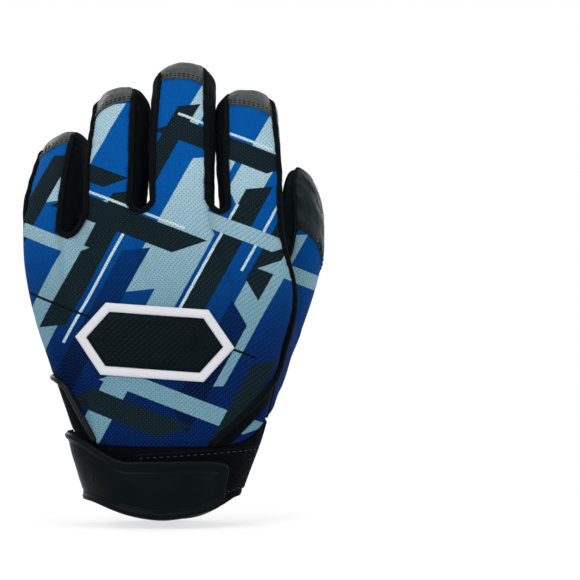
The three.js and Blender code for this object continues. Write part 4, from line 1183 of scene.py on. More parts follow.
def run_of(piece):
    """How far each point is along its panel."""
    return noted(piece, "weave")[:, 1]


# %% [markdown]
# ## The back of the hand
# One printed panel covers the back, from the cuff to the knuckles, where it runs on into the fingers. It
# is cut away at the little finger's side for a stretch vent, whose edge is bound with a cord. The cut
# could be made with a boolean, but then the grid would not follow the edge, so the panel's lower line
# rises over it.

# %% Back panel
KNUCKLE_BUMP, KNUCKLE_BELOW, KNUCKLE_WIDE, KNUCKLE_HIGH = 0.7, 9, 8, 11
SIDE_SLANT_FROM = 0.4
SIDE_CURVE = 1.2


def side_share(z):
    """The back's right seam, which leaves the hand's side and slants to the cuff."""
    down = (SIDE_SEAM_TOP - z) / (SIDE_SEAM_TOP - SIDE_SEAM_FOOT)
    return 1 - SIDE_CUT * np.maximum(0, down) ** SIDE_CURVE


VENT_FOOT = cuff_top(-1, np.full(1, VENT_WIDTH))[0]
ARCH_FOOT = VENT_TOP - VENT_ARCH


def vent_share(z):
    """The vent's edge: it slants up from the cuff and ends in an arch."""
    slant = lerp(VENT_WIDTH, VENT_FROM, (z - VENT_FOOT) / (ARCH_FOOT - VENT_FOOT))
    return slant * np.sqrt(1 - np.clip((z - ARCH_FOOT) / VENT_ARCH, 0, 1) ** 2)


def vent_edge(share):
    """The height of that edge at a share of the back."""
    low, high = np.full(np.shape(share), VENT_FOOT), np.full(np.shape(share), VENT_TOP)
    for _ in range(24):
        z = (low + high) / 2
        inside = vent_share(z) > share
        low, high = np.where(inside, z, low), np.where(inside, high, z)
    return low


def back_skin(share, up):
    def share_at(z):
        return lerp(share, share * side_share(z), smooth((share - SIDE_SLANT_FROM) / (1 - SIDE_SLANT_FROM)))

    low = np.where(share < VENT_WIDTH, vent_edge(share) + SEAM, foot_of(-1, share_at, share))
    z = lerp(low, BACK_EDGE(np.clip(share, 0, 1))[..., 2], up)
    return hand_skin(-1, share_at(z), z)


def back_relief(share, up, across, along, edges):
    place = back_skin(share, up)
    x, z = place[..., 0], place[..., 2]
    soft = 0.3 * ripple(x, z, 34, 5)
    bumps = 0
    for f in FINGERS.values():
        knuckle = mound(x - f["x"], z - f["z"] + KNUCKLE_BELOW, KNUCKLE_WIDE, KNUCKLE_HIGH)
        bumps = bumps + KNUCKLE_BUMP * knuckle
    inside = clear_of(edges, t=6, b=5)
    gathers = puckers(edges["b"], across, 11, 0.25) + puckers(edges["r"], along, 12, 0.25)
    return (soft + bumps) * inside + gathers * smooth(edges["t"] / 5)


back = sew("hand_back_cloth", back_skin, (0, 1), (0, 1), (170, 130), back_relief, turned="lrb")
dress(back, "print", "print_cloth", "hand", "back_panel")
print("back panel:", len(back.data.vertices), "points")

# %% Vent and bound edges
VENT_OVERLAP = (-0.004, 0.006)
VENT_SUNK, VENT_RIB = 0.7, 0.22
VENT_CORD_R, SIDE_CORD_R = 1.25, 1.25
ARCH_TURN = 76


def vent_skin(across, up):
    def share_at(z):
        return lerp(VENT_OVERLAP[0], vent_share(z) + VENT_OVERLAP[1], across)

    z = lerp(foot_of(-1, share_at, across) - 1, VENT_TOP, up)
    return hand_skin(-1, share_at(z), z)


def vent_relief(across, up, run, along, edges):
    return VENT_RIB * np.sin(along * 1.7 + 0.4 * run) * clear_of(edges, l=2, r=2) - VENT_SUNK


vent = sew("vent_stretch_cloth", vent_skin, (0, 1), (0, 1), (26, 44), vent_relief)
dress(vent, "stretch", "stretch_cloth", "hand", "vent_gusset")


def back_of(share, z):
    return hand_skin(-1, share, z)


straight = np.linspace(VENT_FOOT + 1, ARCH_FOOT, 30)[:-1]
arch = ARCH_FOOT + VENT_ARCH * np.sin(np.radians(np.linspace(0, ARCH_TURN, 24)))
heights = np.concatenate([straight, arch])
path, out = on_surface(back_of, vent_share(heights), heights, lift=0.5)
vent_binding = cord("vent_bound_edge", path, out, VENT_CORD_R, waver=0.04)
dress(vent_binding, "gloss", "stretch_cloth", "hand", "vent_piping")

seam_foot = foot_of(-1, side_share, np.zeros(1))[0]
heights = np.linspace(seam_foot + 0.5, last_root[2] + 0.5, 110)
path, out = on_surface(back_of, side_share(heights), heights, lift=0.7)
side_edge = cord("side_bound_edge", path, out, SIDE_CORD_R, waver=0.05, seed=8)
dress(side_edge, "binding", "stretch_cloth", "hand", "side_seam_piping")
print("vent and side seam bound with cords")

# %% [markdown]
# ## Beside the slanted seam
# Near the wrist the back's right seam leaves the hand's side and slants to the cuff. A black stretch band
# lies beside it, and then a narrow printed strip that joins the thumb's root. Both narrow towards the top
# of that seam. They are cut from the hand's surface between two lines, so one function makes both.

# %% Side band and strip
# How far below the side seam's top the two pieces end
BAND_SHORT, STRIP_SHORT = 0.6, 11.2


def band_share(z):
    return side_share(z) + SIDE_BAND


def beside_seam(start, end, short):
    def skin(across, up):
        def share_at(z):
            return lerp(np.minimum(1, start(z)), np.minimum(1, end(z)), across)

        z = lerp(foot_of(-1, share_at, across), SIDE_SEAM_TOP - short, up)
        return hand_skin(-1, share_at(z), z)

    return skin


band_skin = beside_seam(side_share, band_share, BAND_SHORT)
band = sew("side_band_knit", band_skin, (0, 1), (0, 1), (20, 60), turned="lrb")
dress(band, "stretch", "stretch_cloth", "hand", "side_band")
strip_of_print = beside_seam(band_share, np.ones_like, STRIP_SHORT)
side_cloth = sew("side_strip_cloth", strip_of_print, (0, 1), (0, 1), (30, 40), turned="lrb")
dress(side_cloth, "print", "print_cloth", "hand", "side_strip")
print("side band and strip:", len(band.data.vertices), "and", len(side_cloth.data.vertices), "points")

# %% [markdown]
# ## The palm
# The palm is one piece of black synthetic leather that runs up into the finger fronts. Palms crease where
# the hand closes, so two soft creases cross it below the fingers. They could be sculpted, but a crease is
# a distance from a line, so a formula presses them in. A curved seam joins the thumb's piece.

# %% Palm panel
LEVEL_ROW = 0.74
HOLLOW_X, HOLLOW_Z, HOLLOW_REACH, HOLLOW_DEPTH = 8, 78, 20, 1.6
HEART_X, HEART_Z, HEART_BOW = -30, 101, 0.004
HEAD_X, HEAD_Z, HEAD_FALL, HEAD_END = 20, 92, 0.2, -34
PAD_RISE, PAD_BELOW, PAD_WIDE, PAD_HIGH = 0.9, 7, 8, 7


def palm_skin(share, up):
    def share_at(z):
        return share * thenar_share(z)

    low = lerp(foot_of(1, share_at, share), THUMB_CROTCH, up / LEVEL_ROW)
    high = lerp(THUMB_CROTCH, PALM_EDGE(np.clip(share, 0, 1))[..., 2], (up - LEVEL_ROW) / (1 - LEVEL_ROW))
    z = np.where(up < LEVEL_ROW, low, high)
    return hand_skin(1, share_at(z), z)


def palm_relief(share, up, across, along, edges):
    place = palm_skin(share, up)
    x, z = place[..., 0], place[..., 2]
    front = smooth((place[..., 1] + 2) / 12)
    hollow = -HOLLOW_DEPTH * mound(x - HOLLOW_X, z - HOLLOW_Z, HOLLOW_REACH, HOLLOW_REACH)
    off = x - HEART_X
    heart_line = HEART_Z + HEART_BOW * off**2 * np.sign(off) + 0.5 * ripple(x, 0 * x, 30, 4)
    heart = crease(z - heart_line, 0.55, 1.3)
    head_line = HEAD_Z - HEAD_FALL * (x - HEAD_X) + 0.6 * ripple(x, 0 * x, 26, 9)
    head = crease(z - head_line, 0.45, 1.2) * smooth((x - HEAD_END) / 12)
    pads = 0
    for f in FINGERS.values():
        pads = pads + PAD_RISE * mound(x - f["x"], z - f["z"] + PAD_BELOW, PAD_WIDE, PAD_HIGH)
    soft = 0.25 * ripple(x, z, 22, 2) + 0.1 * ripple(x, z, 6, 3)
    inside = clear_of(edges, t=6, l=5, r=5, b=5)
    gathers = puckers(edges["r"], along, 21, 0.3) + puckers(edges["b"], across, 22, 0.22)
    return (front * (hollow + heart + head + pads) + soft) * inside + gathers * smooth(edges["t"] / 5)


palm = sew("palm_leather", palm_skin, (0, 1), (0, 1), (190, 150), palm_relief, flip=True, turned="lrb")
press(palm, 1)
lay_grain(palm, noted(palm, "weave")[:, 0], rest_of(palm)[:, 2])
dress(palm, "palm", "palm_leather", "hand", "palm_panel")
print("palm:", len(palm.data.vertices), "points")

# %% [markdown]
# ## The finger panels
# Each finger has a printed back, a leather strip that runs up its front and rolls over the tip, two side
# walls and a raised seam along both edges of the print. One closed tube with painted seams would be quicker,
# but seams show as real steps and gathers, so every strip is a panel of its own.

# %% Sizes of the finger panels
SIDE_INSET = 0.012
FINGER_SPAN = (-1 + SIDE_INSET, 1 - SIDE_INSET)
OUTER_SIDE = {"pinky": -1, "index": 1}
SIDE_NAME = {-1: "left", 1: "right"}
FINGER_CORD_R = 1.1
CORD_LIFT = 0.5
OUTER_TAIL, TIP_TAIL = 14.0, 7.0
TIP_STITCH, TIP_STITCH_HALF = (0.9, 2.0), 0.84
FLAP_SLANT = {"pinky": -1.5, "ring": -2.2, "middle": 1.8, "index": 2.8}
SLANT_RUN = 14.0
WALL_START, WALL_TOP, CORD_TOP = 1.2, 0.985, 0.7
FOLD_PLACES = (0.3, 0.72)
PINHOLE_R, PINHOLE_DEPTH, PINHOLE_BELOW = 0.55, 0.5, 3.5
STRIP_WAVE, TIP_WRINKLE, FLAP_STEP, FLAP_RAMP = 0.16, 0.24, 0.55, 3
# How far the walls of touching fingers swell, and the run from which they do
WALL_SWELL = {
    ("ring", 1): (0.42, 0),
    ("middle", -1): (0.42, 0),
    ("middle", 1): (0.3, 12),
    ("index", -1): (0.3, 12),
}


def strip_skin(name, f):
    """The leather strip's surface. Its flap ends on a slant."""
    whole = strip_length(f)

    def skin(x, run):
        return roll_over(f, x, run + FLAP_SLANT[name] * x * smooth((run - whole + SLANT_RUN) / SLANT_RUN))

    return skin


print("slants of the flaps:", FLAP_SLANT)

# %% A finger's back
BACK_UNDER_FLAP = 1.5


def sew_finger_back(name, f):
    reach = tube_length(f) - TIP_FLAP + abs(FLAP_SLANT[name]) + BACK_UNDER_FLAP

    def skin(x, along):
        return finger_point(f, x, -1, along)

    def relief(x, along, across, run, edges):
        soft = 0.16 * ripple(across, run, 11, len(name)) * smooth(run / 6)
        return soft + side_puckers(edges, run, 31) * smooth(run / 5)

    piece = sew(name + "_back_cloth", skin, FINGER_SPAN, (0, reach), (44, 64), relief, turned="lr")
    dress(piece, "print", "print_cloth", name, name + "_back")


# %% A finger's leather strip
def sew_finger_leather(name, f):
    tube, whole = tube_length(f), strip_length(f)
    hole_run = whole - TIP_FLAP - PINHOLE_BELOW

    def relief(x, run, across, along, edges):
        front = smooth(run / 6) * smooth((tube + 9 - run) / 9)
        made = STRIP_WAVE * ripple(across, run, 7, 40 + len(name)) * smooth(run / 5)
        for k, place in enumerate(FOLD_PLACES):
            wavy = place * tube + 0.7 * ripple(across, 0 * run, 12, 50 + k)
            made = made + crease(run - wavy, 0.5, 1.0) * front
        tip = smooth((run - tube + 8) / 8) * smooth((tube + TIP_DOME + 5 - run) / 10)
        made = made + TIP_WRINKLE * tip * ripple(0.25 * across, run, 2.8, 60 + len(name))
        flap = smooth((run - (whole - TIP_FLAP - FLAP_RAMP)) / FLAP_RAMP)
        pinhole = mound(across - 1, run - hole_run, PINHOLE_R, PINHOLE_R)
        made = made + FLAP_STEP * flap - PINHOLE_DEPTH * pinhole
        return made + side_puckers(edges, run, 33, 0.3) * smooth(run / 5) * (1 - flap)

    piece = sew(name + "_tip_leather", strip_skin(name, f), FINGER_SPAN, (0, whole), (44, 150), relief,
                flip=True, turned="lr", eased=(0.6, 0))
    start, end = BENDS[name]
    rise = (rest_of(piece) - start) @ unit(end - start)
    press(piece, 1 - smooth((rise - 6) / 16))
    # Painted highlight: the strip is lighter over the top of the tip, where the light from above falls
    note(piece.data, "tip_highlight", smooth((run_of(piece) - tube - 0.9 * TIP_DOME) / 8))
    dress(piece, "palm", "palm_leather", name, name + "_palm_leather")


# %% A finger's side walls
def sew_finger_wall(name, f, side, outer):
    tube = tube_length(f)

    def skin(y, run):
        dome = np.clip((run - tube) / TIP_DOME, 0, WALL_TOP)
        return finger_point(f, side, y, np.minimum(run, tube), dome)

    def relief(y, run, across, along, edges):
        made = 0.14 * ripple(across, run, 6, 70 + side) * smooth(run / 6)
        swell, start = WALL_SWELL.get((name, side), (0, 0))
        made = made + swell * smooth((run - start) / 12) * np.cos(math.pi / 2 * np.clip(y, -1, 1))
        return made + side_puckers(edges, run, 35, 0.3) * smooth(run / 5)

    label = name + ("_outer_leather" if outer else "_wall_knit_" + SIDE_NAME[side])
    limits = (0 if outer else -WALL_START, tube + TIP_DOME * WALL_TOP)
    piece = sew(label, skin, FINGER_SPAN, limits, (32, 84), relief, flip=side < 0, turned="lr",
                eased=(0.6, 0.2))
    node = name + ("_outer_side" if outer else "_fourchette_" + SIDE_NAME[side])
    if outer:
        rise = rest_of(piece)[:, 2] - f["z"]
        press(piece, 1 - smooth((rise - 14) / 16))
        dress(piece, "palm", "palm_leather", name, node)
    else:
        dress(piece, "stretch", "stretch_cloth", name, node)


# %% A finger's seam ridges and stitches
def corner_line(f, side, runs):
    """The line where a finger's back meets its side wall, and the way that the cloth faces there."""
    tube = tube_length(f)

    def corner(x, run):
        dome = np.clip((run - tube) / TIP_DOME, 0, 1)
        return finger_point(f, x, -1, np.minimum(run, tube), dome)

    return on_surface(corner, np.full(len(runs), float(side)), runs, lift=CORD_LIFT)


def sew_finger_cord(name, f, side):
    runs = np.linspace(-1.5, tube_length(f) + TIP_DOME * CORD_TOP, 70)
    path, out = corner_line(f, side, runs)
    label = f"{name}_seam_ridge_{SIDE_NAME[side]}"
    tails = (OUTER_TAIL if (name, side) == ("pinky", -1) else 0, TIP_TAIL)
    piece = cord(label, path, out, FINGER_CORD_R, tails=tails, waver=0.14, seed=80 + side)
    dress(piece, "binding", "stretch_cloth", name, f"{name}_piping_{SIDE_NAME[side]}")


def stitch_tip(name, f):
    x = np.linspace(-TIP_STITCH_HALF, TIP_STITCH_HALF, 24)
    skin, whole = strip_skin(name, f), strip_length(f)
    rows = [on_surface(skin, x, np.full(24, whole - gap), flip=True, lift=0.55) for gap in TIP_STITCH]
    piece = stitch(name + "_tip_stitches", rows, length=1.45, pitch=1.8, radius=0.2)
    piece.data.materials.append(FINISH["thread"])
    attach(piece, name)


# %% Sew the four fingers
for name, f in FINGERS.items():
    sew_finger_back(name, f)
    sew_finger_leather(name, f)
    for side in (-1, 1):
        sew_finger_wall(name, f, side, OUTER_SIDE.get(name) == side)
        sew_finger_cord(name, f, side)
    stitch_tip(name, f)
print("fingers:", ", ".join(FINGERS))

# %% [markdown]
# ## The webs between the fingers
# The side walls of two neighbouring fingers are one strip that folds at the bottom. Its fold is a small
# saddle of stretch knit, and a narrow binding runs round it on the back of the hand. A saddle curves two
# ways, so it is a grid between the two finger roots that sags in its middle.

# %% Webs
WEB_INSET = 2.3
WEB_SAG = 1.2
WEB_REACH = 0.7
WEB_DEEPEST = 1.6
WEB_RISE = 1.6 * SEAM
SADDLE = 2.4


def web_skin(left, right):
    def inset(f):
        return dict(f, half=f["half"] - WEB_INSET, deep=f["deep"] - WEB_INSET)

    def skin(across, deep):
        start = finger_point(inset(left), 1, deep, 0 * across)
        end = finger_point(inset(right), -1, deep, 0 * across)
        made = lerp(start, end, across[..., None])
        late = np.clip(across, 0, 1) ** SADDLE
        early = 1 - np.clip(1 - across, 0, 1) ** SADDLE
        rise = np.where(start[..., 2] < end[..., 2], late, early)
        dip = CROTCH_ROUND * (np.linalg.norm(end - start, axis=-1) - 2 * WEB_INSET)
        sag = lerp(WEB_SAG, dip, np.minimum(WEB_DEEPEST, (deep / WEB_REACH) ** 2))
        made[..., 2] = lerp(start[..., 2], end[..., 2], rise) + WEB_RISE - sag * 4 * across * (1 - across)
        return made

    return skin


NEIGHBOURS = list(zip(list(FINGERS), list(FINGERS)[1:]))
for left, right in NEIGHBOURS:
    skin = web_skin(FINGERS[left], FINGERS[right])
    piece = sew(f"web_{left}_{right}_knit", skin, (-0.15, 1.15), (-0.98, 0.98), (20, 24))
    dress(piece, "stretch", "stretch_cloth", "hand", f"web_{left}_{right}")

# %% Crotch bindings
RIDGE_OVERLAP = np.linspace(4.0, 1.0, 5)
CROTCH_CORD_R = 1.03 * FINGER_CORD_R


def crotch_line(k, left, right):
    """Down one finger's ridge, round the crotch and up the next finger's ridge."""
    first, last = BACK_EDGE.shares[2 * k + 1 : 2 * k + 3]
    spread = np.linspace(first, last, 24)[1:-1]
    down = corner_line(FINGERS[left], 1, RIDGE_OVERLAP)
    dip = on_surface(back_of, spread, BACK_EDGE(spread)[:, 2] - 0.2, lift=CORD_LIFT)
    up = corner_line(FINGERS[right], -1, RIDGE_OVERLAP[::-1])
    return [np.concatenate(parts) for parts in zip(down, dip, up)]


for k, (left, right) in enumerate(NEIGHBOURS):
    path, out = crotch_line(k, left, right)
    piece = cord(f"crotch_binding_{left}_{right}", path, out, CROTCH_CORD_R, waver=0.05, seed=90 + k)
    dress(piece, "binding", "stretch_cloth", "hand")
print("webs and crotch bindings:", len(NEIGHBOURS), "of each")

# %% [markdown]
# ## The thumb panels
# A sleeve of three panels leads from the hand to the thumb: print towards the back, leather towards the
# palm and a leather web between thumb and index finger. On the thumb itself a grey leather cap is sewn
# over the print on a slanted seam. All of them take their part of one sleeve or one tube, so their seams
# meet.

# %% The sleeve at the thumb's root
WEB_GIRTH = (-1 / ARM_PARTS, 1 / ARM_PARTS)
BACK_GIRTH = (1 / ARM_PARTS, (ARM_STEPS + 1) / ARM_PARTS)
PALM_GIRTH = ((ARM_STEPS + 1) / ARM_PARTS, (ARM_PARTS - 1) / ARM_PARTS)


def sleeve_relief(seed, depth):
    def relief(girth, t, across, along, edges):
        soft = depth * ripple(across, along, 12, seed)
        inside = clear_of(edges, l=4, r=4, t=5, b=4)
        return soft * inside + puckers(edges["b"], across, seed + 1, 0.25)

    return relief


web = sew("thumb_web_leather", sleeve, WEB_GIRTH, (0, 1), (34, 44), sleeve_relief(101, 0.3), turned="lrb")
press(web, 0.6)
dress(web, "palm", "palm_leather", "hand", "thumb_web")
sleeve_back = sew("thumb_root_cloth", sleeve, BACK_GIRTH, (0, 1), (80, 60), sleeve_relief(102, 0.25),
                  turned="lrb")
dress(sleeve_back, "print", "print_cloth", "hand", "thenar_back")
sleeve_palm = sew("thumb_root_leather", sleeve, PALM_GIRTH, (0, 1), (90, 60), sleeve_relief(103, 0.35),
                  turned="lrb")
press(sleeve_palm, 1)
rest = rest_of(sleeve_palm)
lay_grain(sleeve_palm, rest[:, 0] - 0.5 * rest[:, 1], rest[:, 2])
dress(sleeve_palm, "palm", "palm_leather", "hand", "thenar_palm")
print("thumb's root: 3 panels")


# %% Thumb panels
UNDER_CAP = 0.02
THUMB_FOLD = 30
SMOOTH_FROM = 96


def low_skin(girth, up):
    return thumb_tube(girth, lerp(0.0, cap_seam(girth) + UNDER_CAP, up))


def cap_skin(girth, up):
    return thumb_tube(girth, lerp(cap_seam(girth), THUMB_END, up))


def cap_relief(girth, up, across, along, edges):
    overlap = 0.5 * smooth((9 - along) / 4)
    soft = 0.18 * ripple(across, along, 9, 104) + 0.12 * ripple(across, along, 4, 105)
    return overlap + soft * clear_of(edges, t=8) + side_puckers(edges, along, 106)


def tube_relief(seed):
    def relief(girth, along, across, run, edges):
        soft = 0.2 * ripple(across, run, 8, seed)
        folds = crease(run - THUMB_FOLD - 0.8 * ripple(across, 0 * run, 10, seed), 0.45, 1.0)
        gathers = side_puckers(edges, run, seed + 1, 0.3)
        return (soft + folds) * clear_of(edges, b=6, t=8) + gathers * smooth(run / 5)

    return relief


strip = sew("thumb_inner_knit", thumb_tube, WEB_GIRTH, (0, THUMB_END), (26, 80), tube_relief(110),
            turned="lr")
dress(strip, "thumb knit", "stretch_cloth", "thumb", "thumb_inner_strip")
low = sew("thumb_back_cloth", low_skin, BACK_GIRTH, (0, 1), (60, 44), turned="lr")
dress(low, "print", "print_cloth", "thumb", "thumb_back")
cap = sew("thumb_cap_leather", cap_skin, BACK_GIRTH, (0, 1), (60, 64), cap_relief, turned="lr")
dress(cap, "tip", "tip_leather", "thumb", "thumb_cap")
front = sew("thumb_front_leather", thumb_tube, PALM_GIRTH, (0, THUMB_END), (60, 90), tube_relief(111),
            turned="lr")
press(front, 1 - smooth((rest_of(front)[:, 2] - SMOOTH_FROM) / 16))
dress(front, "palm", "palm_leather", "thumb", "thumb_palm_leather")
print("thumb: 4 panels")

# %% Thumb stitches and seam ridges
CAP_ROWS = (0.028, 0.062)
THUMB_RIDGE_R = 0.55
girths = np.linspace(BACK_GIRTH[0] + 0.02, BACK_GIRTH[1] - 0.05, 40)
rows = [on_surface(cap_skin, girths, np.full(40, share), lift=0.35) for share in CAP_ROWS]
cap_stitches = stitch("thumb_cap_stitches", rows, length=1.8, pitch=2.5)
dress(cap_stitches, "thread", "tip_leather", "thumb")


def thumb_seam(girth):
    """A seam from the knuckle to the tip, with its points closer together on the dome."""
    up = THUMB_END * np.sin(np.linspace(0, math.pi / 2, 80))
    return on_surface(thumb_tube, np.full(80, girth), up, lift=0.1)


inner, outer, front_seam = (thumb_seam(girth) for girth in (WEB_GIRTH[1], BACK_GIRTH[1], WEB_GIRTH[0]))
over_tip = [np.concatenate([up, down[::-1]]) for up, down in zip(inner, outer)]
for label, (path, out) in (("over_tip", over_tip), ("front", front_seam)):
    ridge = cord(f"thumb_seam_ridge_{label}", path, out, THUMB_RIDGE_R, around=8, tails=(4, 4))
    dress(ridge, "thumb knit", "stretch_cloth", "thumb")
print("thumb: 2 rows of stitches and 2 seam ridges")

# %% [markdown]
# ## The cuff
# A band of thick elastic knit goes round the wrist, with a turned hem at the mouth. It is sewn at both
# sides. Ribs could be left to a bump, but they show at the edge of the wrist, so shallow ones are in the
# mesh.

# %% Cuff bands and hem
BOW_BACK, BOW_PALM = 2, 3
RIB_PITCH, RIB_RISE = 2.4, 0.1
SIDE_RIDGE_R = 0.55


def wrist(share, z):
    return oval(-1, share, z)


def mouth_edge(place):
    x, y = place[..., 0], place[..., 1]
    rise = np.where(x < 0, CUFF_RISE, CUFF_THUMB_RISE)
    bow = rise * np.abs(x / HAND["left"][0]) ** np.where(y < 0, BOW_BACK, BOW_PALM)
    return bow + CUFF_BACK_RISE * smooth(-y / HAND["back"][0])


def mouth_at(side, share):
    """The height of the cuff's lower edge."""
    return mouth_edge(oval(side, share, np.full(np.shape(share), HEM)))


def cuff_skin(side):
    def skin(share, up):
        foot = mouth_at(side, share) + HEM
        return oval(side, share, lerp(foot - 0.2, cuff_top(side, share), up))

    return skin


def cuff_relief(share, up, across, along, edges):
    ribs = RIB_RISE * np.sin(across * 2 * math.pi / RIB_PITCH)
    soft = 0.3 * ripple(across, along, 16, 120)
    gathers = puckers(edges["t"], across, 121, 0.35, 4)
    return (ribs + soft) * clear_of(edges, t=3, b=2) + gathers


for side, label, node in ((-1, "back", "cuff_back_band"), (1, "palm", "cuff_palm_band")):
    piece = sew(f"cuff_{label}_knit", cuff_skin(side), (0, 1), (0, 1), (120, 34), cuff_relief, wall=CUFF_WALL,
                flip=side > 0, turned="lrt")
    dress(piece, "cuff", "cuff_knit", "hand", node)


def hem_skin(turn, up):
    share = np.where(turn < 1, turn, 2 - turn)
    side = np.where(turn < 1, -1, 1)
    return oval(side, share, mouth_at(side, share) + HEM * up)


def hem_relief(turn, up, across, along, edges):
    return 0.35 * np.sin(math.pi * up) - 0.1 + 0.08 * ripple(across, along, 5, 124)


hem = sew("cuff_turned_hem", hem_skin, (0, 2), (0, 1), (240, 10), hem_relief, wall=CUFF_WALL, closed=True,
          turned="bt")
dress(hem, "cuff", "cuff_knit", "hand", "cuff_hem")
print("cuff: 2 bands and a hem")

# %% Ridges over the side seams
for share, label in ((0.0, "little"), (1.0, "thumb")):
    ends = np.full(1, share)
    heights = np.linspace(mouth_at(-1, ends)[0] + HEM, cuff_top(-1, ends)[0] - 0.4, 40)
    path, out = on_surface(back_of, np.full(40, share), heights)
    ridge = cord(f"cuff_side_ridge_{label}", path, out, SIDE_RIDGE_R, around=8)
    dress(ridge, "cuff", "cuff_knit", "hand")

heights = np.linspace(SIDE_FOOT, SIDE_SEAM_TOP, 40)
path, out = on_surface(back_of, np.ones(40), heights)
root_ridge = cord("thumb_root_ridge", path, out, SIDE_RIDGE_R, around=8, tails=(0, 5))
dress(root_ridge, "binding", "stretch_cloth", "hand")
print("side ridges: 2 on the cuff and 1 at the thumb's root")

# %% [markdown]
# ## The wrist strap
# The strap is webbing under a moulded rubber tab with a raised rim. It is sewn to the cuff at the little
# finger's side and closes with a hook patch on a loop patch. Each layer is the same strap surface, lifted by
# what lies under it.

# %% Strap sizes and surfaces
STRAP_TOP_ROOT, STRAP_TOP_MIDDLE, STRAP_TOP_END = 37.0, 25.8, 26.2
STRAP_BOTTOM = 0.5
STRAP_ROOT, STRAP_END = 0.05, 0.77
STRAP_WEBBING, STRAP_TAB, STRAP_RIM, STRAP_RIM_WIDTH = 0.8, 1.5, 0.6, 2.2
HOOK = 0.8
HOOK_FROM, HOOK_INSET = 0.5, 4.0
LOOP_FROM, LOOP_TO, LOOP_HIGH, LOOP_RISE, LOOP_LOW = 0.36, 0.94, 28.0, 3.2, 3.6
ROOT_BACK, ROOT_THICK = -0.06, 2.2
CLOSED = 2 * SEAM + 2 * HOOK
# Shares of the wrist over which the strap's top falls, rises again and rounds off, and its steps inwards
STRAP_FALL, STRAP_RISE_FROM = 0.3, 0.45
STRAP_ROUND_FROM, STRAP_ROUND, STRAP_SQUARENESS = 0.11, 0.115, 4
LIFT_FROM, LIFT_SHORT = 0.08, 0.1
WEBBING_INSET, WEBBING_SHORT, HOOK_SHORT, ROOT_GAP = 1.2, 0.03, 0.06, 0.004


def lower_edge(share):
    return mouth_at(-1, share)


def strap_top(share):
    down = smooth((share - STRAP_ROOT) / STRAP_FALL)
    up = smooth((share - STRAP_RISE_FROM) / (STRAP_END - STRAP_RISE_FROM))
    return lerp(STRAP_TOP_ROOT, STRAP_TOP_MIDDLE, down) + (STRAP_TOP_END - STRAP_TOP_MIDDLE) * up


def strap_skin(inside):
    def skin(share, up):
        foot = lower_edge(share) + STRAP_BOTTOM + inside
        head = strap_top(share) - inside
        rounded = np.clip((share - STRAP_END + STRAP_ROUND_FROM) / STRAP_ROUND, 0, 1)
        half = (head - foot) / 2 * (1 - rounded**STRAP_SQUARENESS) ** (1 / STRAP_SQUARENESS)
        return wrist(share, (head + foot) / 2 + half * (2 * up - 1))

    return skin


def stand_off(share):
    rise = (share - STRAP_ROOT - LIFT_FROM) / (LOOP_FROM - STRAP_ROOT - LIFT_SHORT)
    return SEAM + CLOSED * smooth(rise)


def lifted(skin, lift):
    """A surface that stands off another by a height, or by a function of the way along it."""
    def made(u, v):
        height = lift(u) if callable(lift) else lift
        return skin(u, v) + outward(skin, u, v, False) * np.asarray(height)[..., None]

    return made


print("strap: stands", round(SEAM + CLOSED, 2), "mm off the cuff")

# %% Strap pieces
MOULD_MARK, MARK_R, MARK_RING = (14.0, 10.0), 0.6, 1.3
TAB_LINE, TAB_LINE_WIDTH, TAB_LINE_DEPTH, TAB_CROWN = 4.2, 0.35, 0.22, 0.35


def tab_relief(share, up, across, along, edges):
    edge = nearest_edge(edges, "btr")
    rim = STRAP_RIM * smooth(edge / 0.7) * smooth((STRAP_RIM_WIDTH + 0.9 - edge) / 1.1)
    line = -TAB_LINE_DEPTH * np.exp(-(((edge - TAB_LINE) / TAB_LINE_WIDTH) ** 2))
    crown = TAB_CROWN * smooth((edge - 4) / 6)
    far = np.hypot(edges["l"] - MOULD_MARK[0], edges["b"] - MOULD_MARK[1])
    mark = -0.3 * np.exp(-((far / MARK_R) ** 2)) + 0.12 * np.exp(-(((far - MARK_RING) / 0.4) ** 2))
    return rim + line + crown + mark


def tab_top(share):
    return stand_off(share) + STRAP_WEBBING + SEAM + STRAP_TAB


def strap_hinge():
    skin = lifted(strap_skin(0), tab_top)
    a, b = skin(np.array([STRAP_ROOT, STRAP_ROOT + 0.02]), np.array([0.5, 0.5]))
    return a, a + unit(b - a) * STRAP_BEND


BENDS["strap"] = strap_hinge()
tab = sew("strap_tab_rubber", lifted(strap_skin(0), tab_top), (STRAP_ROOT, STRAP_END), (0, 1), (190, 70),
          tab_relief, wall=STRAP_TAB, turned="btr", eased=(0.3, 0.55))
dress(tab, "rubber", "strap_rubber", "strap", "strap_tab")
webbing = sew("strap_webbing_knit", lifted(strap_skin(WEBBING_INSET), lambda s: stand_off(s) + STRAP_WEBBING),
              (STRAP_ROOT, STRAP_END - WEBBING_SHORT), (0, 1), (90, 30), wall=STRAP_WEBBING)
dress(webbing, "cuff", "cuff_knit", "strap", "strap_webbing")
hook = sew("hook_patch_pile", lifted(strap_skin(HOOK_INSET), CLOSED), (HOOK_FROM, STRAP_END - HOOK_SHORT),
           (0, 1), (60, 34), wall=HOOK)
dress(hook, "pile", "hook_and_loop", "strap", "hook_patch")
print("strap: tab, webbing and hook patch")


# %% Loop patch and the strap's root
def loop_skin(share, up):
    head = LOOP_HIGH + LOOP_RISE * (share - LOOP_FROM) / (LOOP_TO - LOOP_FROM)
    return wrist(share, lerp(lower_edge(share) + LOOP_LOW, head, up))


def loop_relief(share, up, across, along, edges):
    near = nearest_edge(edges)
    return -0.2 * np.exp(-(((near - 1.5) / 0.6) ** 2)) + 0.08 * ripple(across, along, 3, 130)


